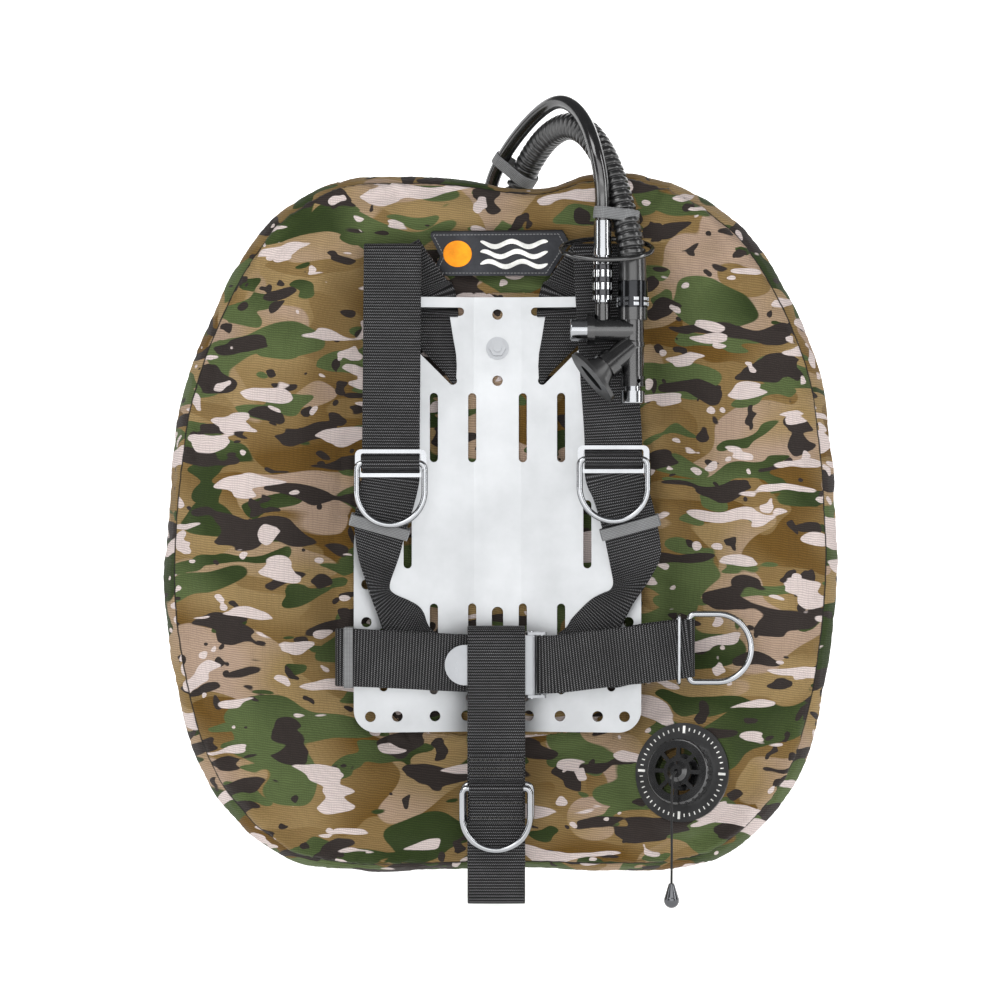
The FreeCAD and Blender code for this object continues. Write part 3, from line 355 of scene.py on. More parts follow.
def flat_cloth(name, tone, pitch=1.2):
    paint = Paint(name, Roughness=0.85, Sheen_Weight=0.1)
    weave = cloth_weave(paint, pitch)
    color = srgb(*tone)
    paint.color(paint.ramp(weave, [(0.0, tuple(c * 0.55 for c in color[:3]) + (1.0,)), (0.8, color)]))
    paint.rough(paint.noise(50.0, detail=3.0), 0.75, 0.95)
    paint.bump(weave, 0.2, 0.6)
    return paint.material


def paint_all():
    return {
        "camo": camouflage(),
        "webbing": webbing(),
        "plate": steel("plate_steel", (186, 188, 190), (0.34, 0.48), (1500, 1500, 14), 0.012),
        "steel": steel("polished_steel", (172, 174, 177), (0.08, 0.2)),
        "satin": steel("satin_steel", (152, 154, 157), (0.22, 0.36)),
        "dark_steel": steel("dark_steel", (54, 55, 57), (0.12, 0.25)),
        "knurled": knurled_steel("knurled_steel", (90.3, -76.0), 11),
        "brass": steel("grommet_brass", (150, 126, 82), (0.3, 0.5)),
        "plastic": plastic("black_plastic", (11, 11, 12), (0.16, 0.30), shine=0.55),
        "rubber": plastic("black_rubber", (12, 12, 13), (0.24, 0.40), 500.0, 0.08, 0.5),
        "gloss": plastic("gloss_hose", (8, 8, 9), (0.12, 0.24), 900.0, 0.02, 0.6),
        "patch": plastic("patch_rubber", (44, 45, 49), (0.5, 0.7), 600.0, 0.08, 0.0),
        "elastic": elastic(),
        "cord": flat_cloth("cord_black", (34, 34, 35), 0.9),
        "knob": steel("knob_metal", (104, 105, 108), (0.12, 0.25)),
        "thread": flat_cloth("thread_dark", (58, 56, 50), 0.6),
        "white": plastic("mark_white", (216, 216, 212), (0.4, 0.6), shine=0.0),
        "orange": plastic("mark_orange", (226, 136, 14), (0.4, 0.6), shine=0.0),
    }


# -------- making pieces

def mesh_piece(name, points, faces, material, replaced=(), uv=None, smooth=True):
    """A mesh object from points in millimetres; it rides on the root and stands for the replaced nodes."""
    mesh = bpy.data.meshes.new(name)
    mesh.from_pydata((np.asarray(points) / 1000).tolist(), [], faces)
    if uv is not None:
        layer = mesh.uv_layers.new(name="UVMap")
        index = np.zeros(len(mesh.loops), int)
        mesh.loops.foreach_get("vertex_index", index)
        layer.data.foreach_set("uv", (np.asarray(uv)[index] / 1000).ravel())
    mesh.validate()
    if smooth:
        mesh.shade_smooth()
    mesh.materials.append(material)
    made = bpy.data.objects.new(name, mesh)
    SCENE.collection.objects.link(made)
    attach(made, "root")
    if replaced:
        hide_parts(*replaced)
    return made


def grid_faces(rows, columns, wrap_rows=False, wrap_columns=False, offset=0):
    faces = []
    for i in range(rows if wrap_rows else rows - 1):
        for k in range(columns if wrap_columns else columns - 1):
            a, b = i * columns, (i + 1) % rows * columns
            m = (k + 1) % columns
            faces.append((offset + a + k, offset + a + m, offset + b + m, offset + b + k))
    return faces


def along_path(points, step):
    """The path's points at equal steps, and the length at each."""
    points = np.asarray(points, float)
    reach = np.r_[0, np.cumsum(np.linalg.norm(np.diff(points[:, :3], axis=0), axis=1))]
    at = np.linspace(0, reach[-1], max(3, int(reach[-1] / step) + 1))
    return np.stack([np.interp(at, reach, points[:, k]) for k in range(points.shape[1])], 1), at


def turning_frames(points):
    """Heading, side and up at each point of a path, without twist."""
    heading = np.gradient(points, axis=0)
    heading /= np.linalg.norm(heading, axis=1)[:, None]
    side = [unit(np.cross(heading[0], Y if abs(heading[0][1]) < 0.9 else X))]
    for h in heading[1:]:
        side.append(unit(side[-1] - h * np.dot(side[-1], h)))
    side = np.array(side)
    return heading, side, np.cross(heading, side)


def tube(name, points, radii, material, replaced=(), around=32):
    """Round tube along the points with a radius at each of them, and flat ends."""
    _, side, up = turning_frames(points)
    turn = np.linspace(0, 2 * np.pi, around, endpoint=False)
    ring = side[:, None] * np.cos(turn)[None, :, None] + up[:, None] * np.sin(turn)[None, :, None]
    verts = (points[:, None] + ring * np.asarray(radii)[:, None, None]).reshape(-1, 3)
    faces = grid_faces(len(points), around, wrap_columns=True)
    faces += [tuple(range(around)), tuple(range(len(verts) - around, len(verts)))[::-1]]
    return mesh_piece(name, verts, faces, material, replaced)


def strap(name, stations, paint, replaced=(), extra=()):
    """Webbing through (centre, across, width) stations, with rounded edges. Stations with a fourth value
    keep their edges as given, and at the others the webbing crosses its own heading squarely."""
    table = np.array([[*c, *unit(vec(*a)), w, len(kept)] for c, a, w, *kept in stations], float)
    for _ in range(3):
        near, far = table[:-1] * 0.75 + table[1:] * 0.25, table[:-1] * 0.25 + table[1:] * 0.75
        table = np.concatenate([table[:1], np.stack([near, far], 1).reshape(-1, 8), table[-1:]])
    table, at = along_path(table, 1.6)
    centre, width = table[:, :3], table[:, 6]
    heading = np.gradient(centre, axis=0)
    heading /= np.linalg.norm(heading, axis=1)[:, None]
    square = (1 - table[:, 7]) * np.sum(table[:, 3:6] * heading, 1)
    side = table[:, 3:6] - heading * square[:, None]
    side /= np.linalg.norm(side, axis=1)[:, None]
    normal = np.cross(heading, side)
    normal /= np.linalg.norm(normal, axis=1)[:, None]
    half, edge = WEB_T / 2, 0.9
    rim = np.linspace(-1, 1, 13)
    turn = np.radians([60, 30, 0, -30, -60])
    top = [(r, 0, 1.0) for r in rim]
    right = [(1, edge * math.cos(t), math.sin(t)) for t in turn]
    low = [(r, 0, -1.0) for r in rim[::-1]]
    left = [(-1, -edge * math.cos(t), math.sin(t)) for t in turn[::-1]]
    profile = np.array(top + right + low + left)
    flat_half = width / 2 - edge
    crown = 0.12 * np.cos(profile[:, 0] * np.pi / 2)
    out = flat_half[:, None] * profile[None, :, 0] + profile[None, :, 1]
    lift = half * profile[:, 2] + crown
    verts = centre[:, None] + side[:, None] * out[..., None] + normal[:, None] * lift[None, :, None]
    count = len(profile)
    faces = grid_faces(len(centre), count, wrap_columns=True)
    verts = verts.reshape(-1, 3)
    faces += [tuple(range(count)), tuple(range(len(verts) - count, len(verts)))[::-1]]
    uv = np.stack([out.ravel(), np.repeat(at, count)], 1)
    for points, more_faces, more_uv in extra:
        faces += [tuple(i + len(verts) for i in f) for f in more_faces]
        verts = np.concatenate([verts, points])
        uv = np.concatenate([uv, more_uv])
    return mesh_piece(name, verts, faces, paint["webbing"], replaced, uv)


def loop_band(name, loop, outward, along, width, wall, material, replaced=()):
    """Elastic band: a closed loop of points with its outward directions, width along the webbing or hose."""
    profile = [(-0.5, 0.15), (-0.42, 0.0), (0.42, 0.0), (0.5, 0.15), (0.5, 0.85), (0.42, 1.0), (0.0, 1.08),
               (-0.42, 1.0), (-0.5, 0.85)]
    loop, outward = np.asarray(loop, float), np.asarray(outward, float)
    reach = np.r_[0, np.cumsum(np.linalg.norm(np.diff(loop, axis=0), axis=1))]
    verts, uv = [], []
    for point, out, at in zip(loop, outward, reach):
        for a, n in profile:
            verts.append(point + along * (a * width) + out * (n * wall))
            uv.append((a * width, at))
    faces = grid_faces(len(loop), len(profile), True, True)
    return mesh_piece(name, verts, faces, material, replaced, uv)


def sleeve_loop(middle, across, along, width, depth):
    """Rounded rectangle round flat webbing, as a loop for loop_band."""
    corner = 1.6
    across, along = unit(vec(*across)), unit(vec(*along))
    normal = unit(np.cross(across, along))
    loop, outward = [], []
    for a, n in ((1, 1), (-1, 1), (-1, -1), (1, -1)):
        hub = vec(*middle) + across * (a * (width / 2 - corner)) + normal * (n * (depth / 2 - corner))
        start = {(1, 1): 0, (-1, 1): 90, (-1, -1): 180, (1, -1): 270}[(a, n)]
        for t in np.radians(np.linspace(start, start + 90, 7)):
            out = across * math.cos(t) + normal * math.sin(t)
            loop.append(hub + out * corner)
            outward.append(out)
    return loop, outward, unit(np.cross(normal, across))


def stitches(name, rows, material, pitch, length, radius):
    """Small raised thread stitches along rows of (points, outward directions)."""
    verts, faces = [], []
    shape = [(-1.0, 0.3), (-0.6, 0.9), (0.0, 1.0), (0.6, 0.9), (1.0, 0.3)]
    for points, outs in rows:
        table, at = along_path(np.hstack([points, outs]), pitch)
        heading = np.gradient(table[:, :3], axis=0)
        for place, head, out in zip(table[:, :3], heading, table[:, 3:]):
            head, out = unit(head), unit(out)
            side, first = np.cross(head, out), len(verts)
            for a, r in shape:
                for t in np.radians(np.arange(0, 360, 60)):
                    verts.append(place + head * (a * length / 2)
                                 + (side * math.cos(t) + out * math.sin(t) * 0.7) * radius * r)
            faces += grid_faces(len(shape), 6, wrap_columns=True, offset=first)
            faces += [tuple(range(first, first + 6)), tuple(range(first + 24, first + 30))[::-1]]
    return mesh_piece(name, verts, faces, material)


def raised_shape(name, outline, middle, right, up, height, material):
    """Flat shape with a rounded rim: outline points (a, b) on the plane of right and up."""
    out = np.cross(right, up)
    outline = np.asarray(outline, float)
    centre = outline.mean(0)
    levels = [(1.0, 0.0), (1.0, 0.6), (0.97, 0.9), (0.93, 1.0)]
    verts = []
    for size, lift in levels:
        for a, b in centre + (outline - centre) * size:
            verts.append(middle + right * a + up * b + out * (height * lift))
    count = len(outline)
    faces = grid_faces(len(levels), count, wrap_columns=True)
    faces.append(tuple(range(len(verts) - count, len(verts))))
    return mesh_piece(name, verts, faces, material, smooth=False)


# -------- wing

WING_EDGE = [(33, 282), (80, 293), (125, 293), (165, 281), (205, 257), (240, 217), (270, 160), (288, 103),
             (297, 24), (300, -55), (293, -135), (276, -214), (247, -267), (208, -303), (160, -319),
             (85, -321), (0, -319), (-90, -322), (-160, -318), (-205, -299), (-240, -266), (-269, -214),
             (-288, -135), (-295, -55), (-287, 50), (-269, 129), (-233, 208), (-192, 260), (-143, 287),
             (-95, 292), (-30, 289)]
LOBE_SECTION = [(0.0, 0.0), (0.03, 0.06), (0.14, 0.2), (0.3, 0.52), (0.5, 0.88), (0.7, 1.0), (0.88, 0.74),
                (0.975, 0.3), (1.0, 0.0)]
WING_MID_Y = -9.6
INNER_W, INNER_H, INNER_Z = 112.0, 194.0, -6.0
AROUND, ACROSS = 480, 96
SEAM_SHARE = 0.402                      # how far along the section the front seam lies


def closed_spline(points, samples):
    """Closed cubic spline through the points, at equal steps of its parameter."""
    points = np.asarray(points, float)
    count, poles = len(points), np.asarray(points, float)
    for _ in range(40):
        poles = poles + points - (np.roll(poles, 1, 0) + 4 * poles + np.roll(poles, -1, 0)) / 6
    t = np.arange(samples) * count / samples
    k = np.floor(t).astype(int)
    f = (t - k).reshape((-1,) + (1,) * (points.ndim - 1))
    weights = ((1 - f) ** 3, 3 * f ** 3 - 6 * f ** 2 + 4, -3 * f ** 3 + 3 * f ** 2 + 3 * f + 1, f ** 3)
    return sum(w / 6 * poles[(k + o) % count] for w, o in zip(weights, (-1, 0, 1, 2)))


def inner_edge(x, z):
    """Point of the wing's inner edge on the way from its middle to (x, z)."""
    size = (abs(x / INNER_W) ** 5 + abs((z - INNER_Z) / INNER_H) ** 5) ** 0.2
    return x / size, INNER_Z + (z - INNER_Z) / size


def wing_grid():
    """Places on the cover, round the wing and round its section, a little inside the CAD solid's skin."""
    shrink, rows = 0.4, []
    for x, z in WING_EDGE:
        a, c = inner_edge(x, z)
        inner, outer = vec(a, WING_MID_Y, c), vec(x, WING_MID_Y, z)
        out = unit(outer - inner)
        inner, outer = inner + out * shrink, outer - out * shrink
        end = 30.0 if z > INNER_Z else 36.0
        half = end + (48.0 - end) * (abs(x) / math.hypot(x, z - INNER_Z)) ** 1.5 - shrink
        front = [inner + (outer - inner) * u - Y * (half * h) for u, h in LOBE_SECTION]
        back = [inner + (outer - inner) * u + Y * (half * h) for u, h in LOBE_SECTION[-2:0:-1]]
        rows.append(front + back)
    return closed_spline(closed_spline(rows, AROUND).transpose(1, 0, 2), ACROSS).transpose(1, 0, 2)


def grid_normals(grid):
    a = np.roll(grid, -1, 0) - np.roll(grid, 1, 0)
    b = np.roll(grid, -1, 1) - np.roll(grid, 1, 1)
    normal = np.cross(b, a)
    normal /= np.linalg.norm(normal, axis=2)[..., None]
    far = grid[:, ACROSS // 2] - grid[:, 0]
    return normal if np.sum(normal[:, ACROSS // 2] * far) > 0 else -normal


def ripple(rng, low, high):
    """Smooth periodic noise round the wing, about -1 to 1, with low to high waves."""
    waves = 14
    turn = np.arange(AROUND) * 2 * np.pi / AROUND
    total = np.zeros(AROUND)
    for turns in rng.integers(low, high, waves):
        total += np.sin(turn * turns + rng.uniform(0, 2 * np.pi)) * rng.uniform(0.5, 1.0)
    return total / math.sqrt(waves / 2)


def inflate(grid, pinned):
    """Cloth simulation of the cover: a little too large for its seams and blown up from inside."""
    mesh = bpy.data.meshes.new("blown")
    mesh.from_pydata((grid.reshape(-1, 3) / 1000).tolist(), [], grid_faces(AROUND, ACROSS, True, True))
    blown = bpy.data.objects.new("blown", mesh)
    SCENE.collection.objects.link(blown)
    group = blown.vertex_groups.new(name="seams")
    group.add([i * ACROSS + k for i in range(AROUND) for k in pinned], 1.0, "REPLACE")
    cloth = blown.modifiers.new("cloth", "CLOTH")
    settings = cloth.settings
    settings.quality = 7
    settings.mass = 0.25
    settings.tension_stiffness = settings.compression_stiffness = 18
    settings.shear_stiffness = 8
    settings.bending_stiffness = 0.15
    settings.use_pressure = True
    settings.uniform_pressure_force = 3.0
    settings.shrink_min = -0.035
    settings.vertex_group_mass = "seams"
    settings.effector_weights.gravity = 0
    cloth.collision_settings.use_collision = False
    for step in range(1, 21):
        SCENE.frame_set(step)
    shown = blown.evaluated_get(bpy.context.evaluated_depsgraph_get())
    found = np.zeros(len(mesh.vertices) * 3)
    shown.data.vertices.foreach_get("co", found)
    bpy.data.objects.remove(blown)
    bpy.data.meshes.remove(mesh)
    SCENE.frame_set(1)
    return found.reshape(grid.shape) * 1000


def ease(value, low, high):
    """Smooth step: 0 at low and 1 at high."""
    t = np.clip((value - low) / (high - low), 0, 1)
    return t * t * (3 - 2 * t)


DUMP_FACE, DUMP_AXIS = vec(155.3, -60.8, -228.4), unit(vec(-0.41, -0.895, 0.17))


def seat(grid, middle, axis, depth, inner, outer):
    """Brings the cloth to a flat seat at that depth below middle, within the inner radius."""
    rel = grid - middle
    below = -(rel @ axis)
    radial = np.linalg.norm(rel + below[..., None] * axis, axis=2)
    near = (1 - ease(radial, inner, outer)) * (np.abs(below - depth) < 26)
    return grid - axis * (near * (depth - below))[..., None]


def wing(paint):
    """The cover: blown up, tucked along its seams, and flat under the dump valve and the elbow's flange."""
    rng = np.random.default_rng(SEED)
    grid = wing_grid()
    front = round(ACROSS * SEAM_SHARE)
    seams = (front, ACROSS - front)
    normal = grid_normals(grid)
    moved = inflate(grid, (0, *seams)) - grid
    rise = np.clip(np.sum(moved * normal, axis=2), -7.0, 2.2)
    rise[:, seams[0]:seams[1] + 1] *= 0.35
    slide = moved - normal * np.sum(moved * normal, axis=2)[..., None]
    slide *= np.minimum(1, 3.0 / np.maximum(np.linalg.norm(slide, axis=2), 1e-6))[..., None]
    grid = grid + normal * rise[..., None] + slide
    normal = grid_normals(grid)
    step = np.linalg.norm(np.diff(grid, axis=1), axis=2)
    reach = np.hstack([np.zeros((AROUND, 1)), np.cumsum(step, axis=1)])
    fine, broad = ripple(rng, 70, 120), ripple(rng, 22, 44)
    lift = np.zeros(grid.shape[:2])
    for seam in seams:
        away = np.abs(reach - reach[:, [seam]])
        tuck = (1 - np.exp(-(away / 4) ** 2)) * np.exp(-away / 13)
        lift += -1.6 * np.exp(-(away / 2.6) ** 2) + tuck * (0.8 * fine[:, None] + 0.5)
        lift += 1.0 * np.exp(-away / 55) * (1 - np.exp(-(away / 14) ** 2)) * broad[:, None]
    near_inner = np.minimum(reach, reach[:, [-1]] - reach)
    gathers = 1.4 * np.exp(-near_inner / 30) * (1 - np.exp(-(near_inner / 9) ** 2))
    lift += gathers * ripple(rng, 26, 60)[:, None]
    lift *= ease(np.arange(ACROSS), 0, 4)[None, :]
    lift[:, front + 1:ACROSS - front] *= 0.3
    grid = grid + normal * lift[..., None]
    grid = seat(grid, DUMP_FACE, DUMP_AXIS, 14.1, 44, 62)
    grid = seat(grid, vec(16, 20.5, 234), Y, 0.0, 22, 36)
    from_seam = np.minimum(reach - reach[:, [front]], reach[:, [ACROSS - front]] - reach)
    turned = np.cumsum(np.linalg.norm(grid[:, front] - np.roll(grid[:, front], 1, 0), axis=1))
    flat = np.stack([np.broadcast_to(turned[:, None], from_seam.shape), from_seam], 2).reshape(-1, 2)
    faces = grid_faces(AROUND, ACROSS, True, True)
    made = mesh_piece("wing_cloth", grid.reshape(-1, 3), faces, paint["camo"],
                      ("wing_cover_front", "wing_cover_back", "wing_bladder"), flat)


def centre_panel(paint):
    """Double cloth sheet that joins the wing's lobes behind the plate."""
    rings, around = 26, 120
    turn = np.linspace(0, 2 * np.pi, around, endpoint=False)
    rim = np.array([inner_edge(INNER_W * math.cos(t), INNER_Z + INNER_H * math.sin(t)) for t in turn])
    verts, levels = [], np.linspace(0.02, 1.0, rings)
    for side, y in ((1, -10.15), (-1, -8.45)):
        for size in levels[::side]:
            sag = 0.25 * math.sin(size * 19)
            for (x, z), t in zip(rim, turn):
                verts.append((x * size * 1.011, y + sag * math.sin(3 * t + 4 * size),
                              INNER_Z + (z - INNER_Z) * size * 1.007))
    faces = grid_faces(2 * rings, around, True, True)
    flat = [(x, z + 400) for x, _, z in verts]
    made = mesh_piece("centre_panel_cloth", verts, faces, paint["camo"],
                      ("wing_center_panel",), flat)


# -------- harness

WEB_T, STRAP_Y = 2.2, -54.2
PLATE_FRONT, WRAP_R = -14.1, 4.05
PLATE_SLOPE = math.tan(math.radians(8))
SLIDE_BAR_Y = -60.95
SHOULDERS = {"left": (-91.0, -92.4, 38.0), "right": (90.5, 100.5, 41.5)}
STRAP_LOW = {                           # points of the inner and outer edge
    "left": [((-73, -53, -1), (-121.5, -54.4, 6)), ((-80.4, -49, -23.2), (-124.4, -54.5, -10.8)),
             ((-86, -38, -44), (-123, -54, -30.5)), ((-92.3, -30, -59.5), (-120, -53, -47.5)),
             ((-96, -28, -72), (-112.5, -50, -69)), ((-92, -27, -76), (-105.5, -47, -89)),
             ((-77, -25, -82), (-99, -43, -110)), ((-66, -23, -89), (-89, -37, -131)),
             ((-60.5, -22.3, -108.5), (-64, -25.5, -157.5))],
    "right": [((84, -53.4, 6), (132, -54.4, 14)), ((92.5, -50, -23.7), (138, -54.5, -11.2)),
              ((96.5, -42, -42), (141.5, -54, -30)), ((100.3, -33, -58.9), (142.2, -52.5, -44.2)),
              ((102, -29.5, -68), (135, -51, -57.7)), ((100, -28.5, -73), (121.6, -48.5, -77.8)),
              ((92, -27.5, -75.5), (115.5, -46.5, -88)), ((81.5, -26, -81), (108.5, -43, -103)),
              ((68, -24, -95), (93, -36, -127)), ((60.5, -22.3, -108.5), (64, -25.5, -157.5))],
}


def between(one, other):
    """Strap station whose edges run through the two points."""
    one, other = vec(*one), vec(*other)
    return (one + other) / 2, other - one, np.linalg.norm(other - one), True


def plate_front(x):
    return PLATE_FRONT - max(0.0, abs(x) - 21.0) * PLATE_SLOPE


def arc(a, b, radius, start, end, steps):
    turns = np.radians(np.linspace(start, end, steps + 1))
    return [(a + radius * math.cos(t), b + radius * math.sin(t)) for t in turns]


def hump(x, bar_y, bar_z, base_y, width=50):
    """Webbing that comes down at base_y and passes in front of a ring's bar."""
    middle = (base_y + bar_y) / 2
    points = [(base_y, bar_z + WRAP_R + 1.6), (middle, bar_z + WRAP_R)]
    points += arc(bar_y, bar_z, WRAP_R, 90, 270, 6)
    points += [(middle, bar_z - WRAP_R), (base_y, bar_z - WRAP_R - 1.6)]
    return [((x, y, z), X, width) for y, z in points]


def web_sheet(outline, place):
    """Webbing end cut to an outline of (x, z), lying on the plate: points, faces and flat coordinates."""
    outline = np.asarray(outline, float)
    centre = outline.mean(0)
    points, uv = [], []
    for size, lift in ((1.0, 0.0), (1.0, 0.7), (0.975, 1.0)):
        for x, z in centre + (outline - centre) * size:
            points.append((x, place(x) - 0.2 - WEB_T * lift, z))
            uv.append((x, z))
    count = len(outline)
    faces = grid_faces(3, count, wrap_columns=True) + [tuple(range(2 * count, 3 * count))]
    return np.array(points), faces, np.array(uv)


def shoulder_strap(side, paint):
    sign = -1 if side == "left" else 1
    top_x, slide_x, slide_z = SHOULDERS[side]
    across = (1, -sign * PLATE_SLOPE, 0)

    def by_plate(x, off, z):
        return (sign * x, plate_front(x) + off, z), across, 50
    path = [by_plate(59.5, -1.4, 167.5), by_plate(59.5, -1.4, 170.4), by_plate(59.5, 0.6, 172.3),
            by_plate(59.5, 3.2, 172.6), by_plate(59.5, 4.35, 174.2), by_plate(61, 4.4, 183),
            by_plate(62.5, 4.4, 186.8), ((sign * 70, -27, 196), (1, -sign * 0.12, sign * 0.2), 50),
            ((sign * 80, -36, 209), (1, -sign * 0.05, sign * 0.2), 50)]
    path += [((top_x, y, z), X, 50) for y, z in arc(-49.0, 223, 5.2, 0, 180, 6)]
    path += [(((top_x + slide_x) / 2, STRAP_Y, 130), X, 50), ((slide_x, STRAP_Y, slide_z + 22), X, 50)]
    path += hump(slide_x, SLIDE_BAR_Y, slide_z, STRAP_Y) + [((slide_x, STRAP_Y, slide_z - 14), X, 50)]
    path += [between(*(pair if side == "right" else pair[::-1])) for pair in STRAP_LOW[side]]
    upright = Z * -sign
    through = [(56.4, -1.5, -135), (56.0, 3.2, -135), (57.6, 4.7, -135), (63, 4.7, -135), (93, 4.7, -134)]
    path += [((sign * x, plate_front(x) + off, z), upright, 50) for x, off, z in through]
    tip = [(84, 167.6), (42, 167.6), (39.2, 150), (36.5, 135), (35.9, 124), (36.4, 113), (37.3, 109.5),
           (38.9, 108.2), (40.8, 109.6), (46, 117.5), (81, 152.5)]
    strap(f"shoulder_strap_{side}", path, paint, (f"shoulder_webbing_{side}",),
          extra=[web_sheet([(x * sign, z) for x, z in tip], plate_front)])


HIP_BAR, BUCKLE_BAR = vec(165.5, -66.0, -121.5), vec(38.5, -49.0, -137.0)
LEVEL_OUT = (0.11, 0, 1)
CROTCH_X, TAB_W = -1.0, 47.0
CROTCH_FRONT_Y, CROTCH_REAR_Y = -60.5, -48.5
TABS = {"front": (-67.4, -242.5, CROTCH_FRONT_Y), "rear": (-53.4, -240.5, CROTCH_REAR_Y)}


def belt_left(paint):
    path = [(-98.8, -23.5, -133), (-102.5, -28.5, -133), (-114, -34, -132), (-125, -40.8, -131)]
    path += [(x, y, -130.5) for x, y in arc(-134.0, -49, 6.2, 90, 270, 6)]
    path += [(-114, -54.4, -131), (-85, -52.5, -132.5), (-50, -51, -134.5), (-20, -49.6, -136),
             (4, -48.4, -136.5), (20, -45.6, -137), (30.5, -45.0, -137)]
    strap("belt_left", [(p, Z, 50) for p in path], paint, ("waist_webbing_left",))


def belt_right(paint):
    path = [((98.8, -23.5, -134), Z, 50), ((102.5, -30, -133.5), Z, 50), ((116, -38, -129), LEVEL_OUT, 50),
            ((132, -46.5, -125.5), LEVEL_OUT, 50), ((148, -57.5, -123), LEVEL_OUT, 50)]
    path += [((x, y, HIP_BAR[2]), Z, 50) for x, y in arc(HIP_BAR[0], HIP_BAR[1], WRAP_R, 90, -90, 6)]
    path += [((153, -68.2, -123.5), LEVEL_OUT, 50), ((128, -62.0, -127), LEVEL_OUT, 50),
             ((98, -56.5, -130.5), LEVEL_OUT, 50), ((72, -53.5, -134), LEVEL_OUT, 50),
             ((52, -52.4, -136.5), Z, 50)]
    path += [((x, y, BUCKLE_BAR[2]), Z, 50) for x, y in arc(BUCKLE_BAR[0], BUCKLE_BAR[1], 3.4, 270, 90, 6)]
    path += [((52, -45.8, -136.5), Z, 50), ((78, -46.6, -133.5), LEVEL_OUT, 50)]
    strap("belt_right", path, paint, ("waist_webbing_right",))


def crotch_strap(paint):
    path = [(-57.9, -188), (-57.6, -181), (-50, -172), (-41.2, -164)] + arc(-50.5, -114.0, 10.0, 0, 180, 8)
    path += [(-61.1, -125), (-62.7, -150), (-62.9, -164), (-62.0, -167), (CROTCH_FRONT_Y, -169.5)]
    path += arc(-54.5, -337.0, 6.0, 180, 360, 6)
    path += [(CROTCH_REAR_Y, -218), (-43, -205), (-28, -186), (-19.5, -172.5), (PLATE_FRONT + 0.8, -168.2)]
    strap("crotch_strap", [((CROTCH_X, y, z), X, 50) for y, z in path], paint, ("crotch_webbing",))
    rows = []
    for name, (bar_y, bar_z, leg_y) in TABS.items():
        base = leg_y - WEB_T - 0.2
        path = [((CROTCH_X, base, bar_z + 28), X, TAB_W)] + hump(CROTCH_X, bar_y, bar_z, base, TAB_W)
        path += [((CROTCH_X, base, bar_z - 30), X, TAB_W)]
        strap(f"ring_tab_{name}", path, paint, ("ring_tabs",))
        if name == "front":
            for z in (bar_z + 24, bar_z + 17, bar_z + 11, bar_z - 13, bar_z - 26):
                span = np.linspace(-TAB_W / 2 + 2.5, TAB_W / 2 - 2.5, 24)
                points = np.array([(CROTCH_X + x, base - WEB_T / 2 - 0.3, z) for x in span])
                rows.append((points, np.tile(-Y, (24, 1))))
    stitches("tab_stitches", rows, paint["thread"], 3.6, 2.6, 0.5)


def keepers(paint):
    for name, middle, across, along, width, depth, length in (
            ("left", (-102.4, -51.6, -17), (44, 5.5, -12.4), (-0.12, 0.28, -1), 53.0, 8.0, 10.0),
            ("right", (115.2, -52.2, -17.4), (45.5, -4.5, 12.5), (0.25, 0.16, -1), 53.0, 7.4, 10.0),
            ("waist", (-129.3, -47.6, -130.7), (0, 0, 1), (1, 0, 0), 52.6, 19.7, 8.0)):
        loop, outward, run = sleeve_loop(middle, across, along, width, depth)
        loop = np.asarray(loop) - np.asarray(outward) * 0.9
        loop_band(f"keeper_{name}", loop, outward, run, length, 0.95, paint["elastic"],
                  ("elastic_keepers",))


# -------- hoses

def ribbed_hose(paint):
    line, at = along_path(centreline(CORRUGATED_ROUTE), 0.55)
    length = at[-1]
    pitch = 5.6 + 0.9 * ease(at, length - 120, length - 50)
    phase = np.cumsum(np.gradient(at) / pitch)
    rib = 1 - (0.5 - 0.5 * np.cos(2 * np.pi * phase)) ** 4
    ribs = ease(at, 20, 24) * (1 - ease(at, length - 24, length - 20))
    radius = 11.7 * (1 - ribs) + ribs * (HOSE_R - 2.3 + 2.3 * rib)
    hose = tube("ribbed_hose", line, radius, paint["rubber"], ("corrugated_hose",), around=40)
    return line


def hose_loop(line_a, line_b, spot, axis, radius_a, radius_b):
    """Loop of a band stretched round both hoses in the plane through spot."""
    axis = unit(axis)

    def crossing(line):
        near = line[np.linalg.norm(line - spot, axis=1) < 45]
        return near[np.argmin(np.abs((near - spot) @ axis))]
    first, second = crossing(line_a), crossing(line_b)
    gap = second - first
    gap -= axis * (gap @ axis)
    apart, along = np.linalg.norm(gap), unit(gap)
    side = np.cross(axis, along)
    lean = math.acos((radius_a - radius_b) / apart)
    loop, outward = [], []
    for hub, radius, turns in ((first + gap, radius_b, np.linspace(-lean, lean, 30)),
                               (first, radius_a, np.linspace(lean, 2 * math.pi - lean, 24))):
        for t in turns:
            out = along * math.cos(t) + side * math.sin(t)
            loop.append(hub + out * radius)
            outward.append(out)
    return loop, outward, axis


def hoses(paint):
    ribbed = ribbed_hose(paint)
    smooth = nurbs("smooth_hose", LP_ROUTE, LP_R)
    smooth.data.materials.append(paint["gloss"])
    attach(smooth, "root")
    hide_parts("lp_hose")
    line = centreline(LP_ROUTE)
    for name, spot, axis in (("lower", vec(98, -77, 252), vec(0.1, 0, 1)),
                             ("upper", vec(12, 36, 305), vec(0.5, -0.45, 0.74))):
        loop, outward, run = hose_loop(line, ribbed, spot, axis, LP_R + 0.1, HOSE_R - 0.1)
        loop_band(f"hose_band_{name}_elastic", loop, outward, run, 10.0, 1.3, paint["elastic"],
                  (f"hose_band_{name}",))
    cord = nurbs("valve_cord", CORD_ROUTE, CORD_R)
    cord.data.materials.append(paint["cord"])
    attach(cord, "pull_cord")
    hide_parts("pull_cord")


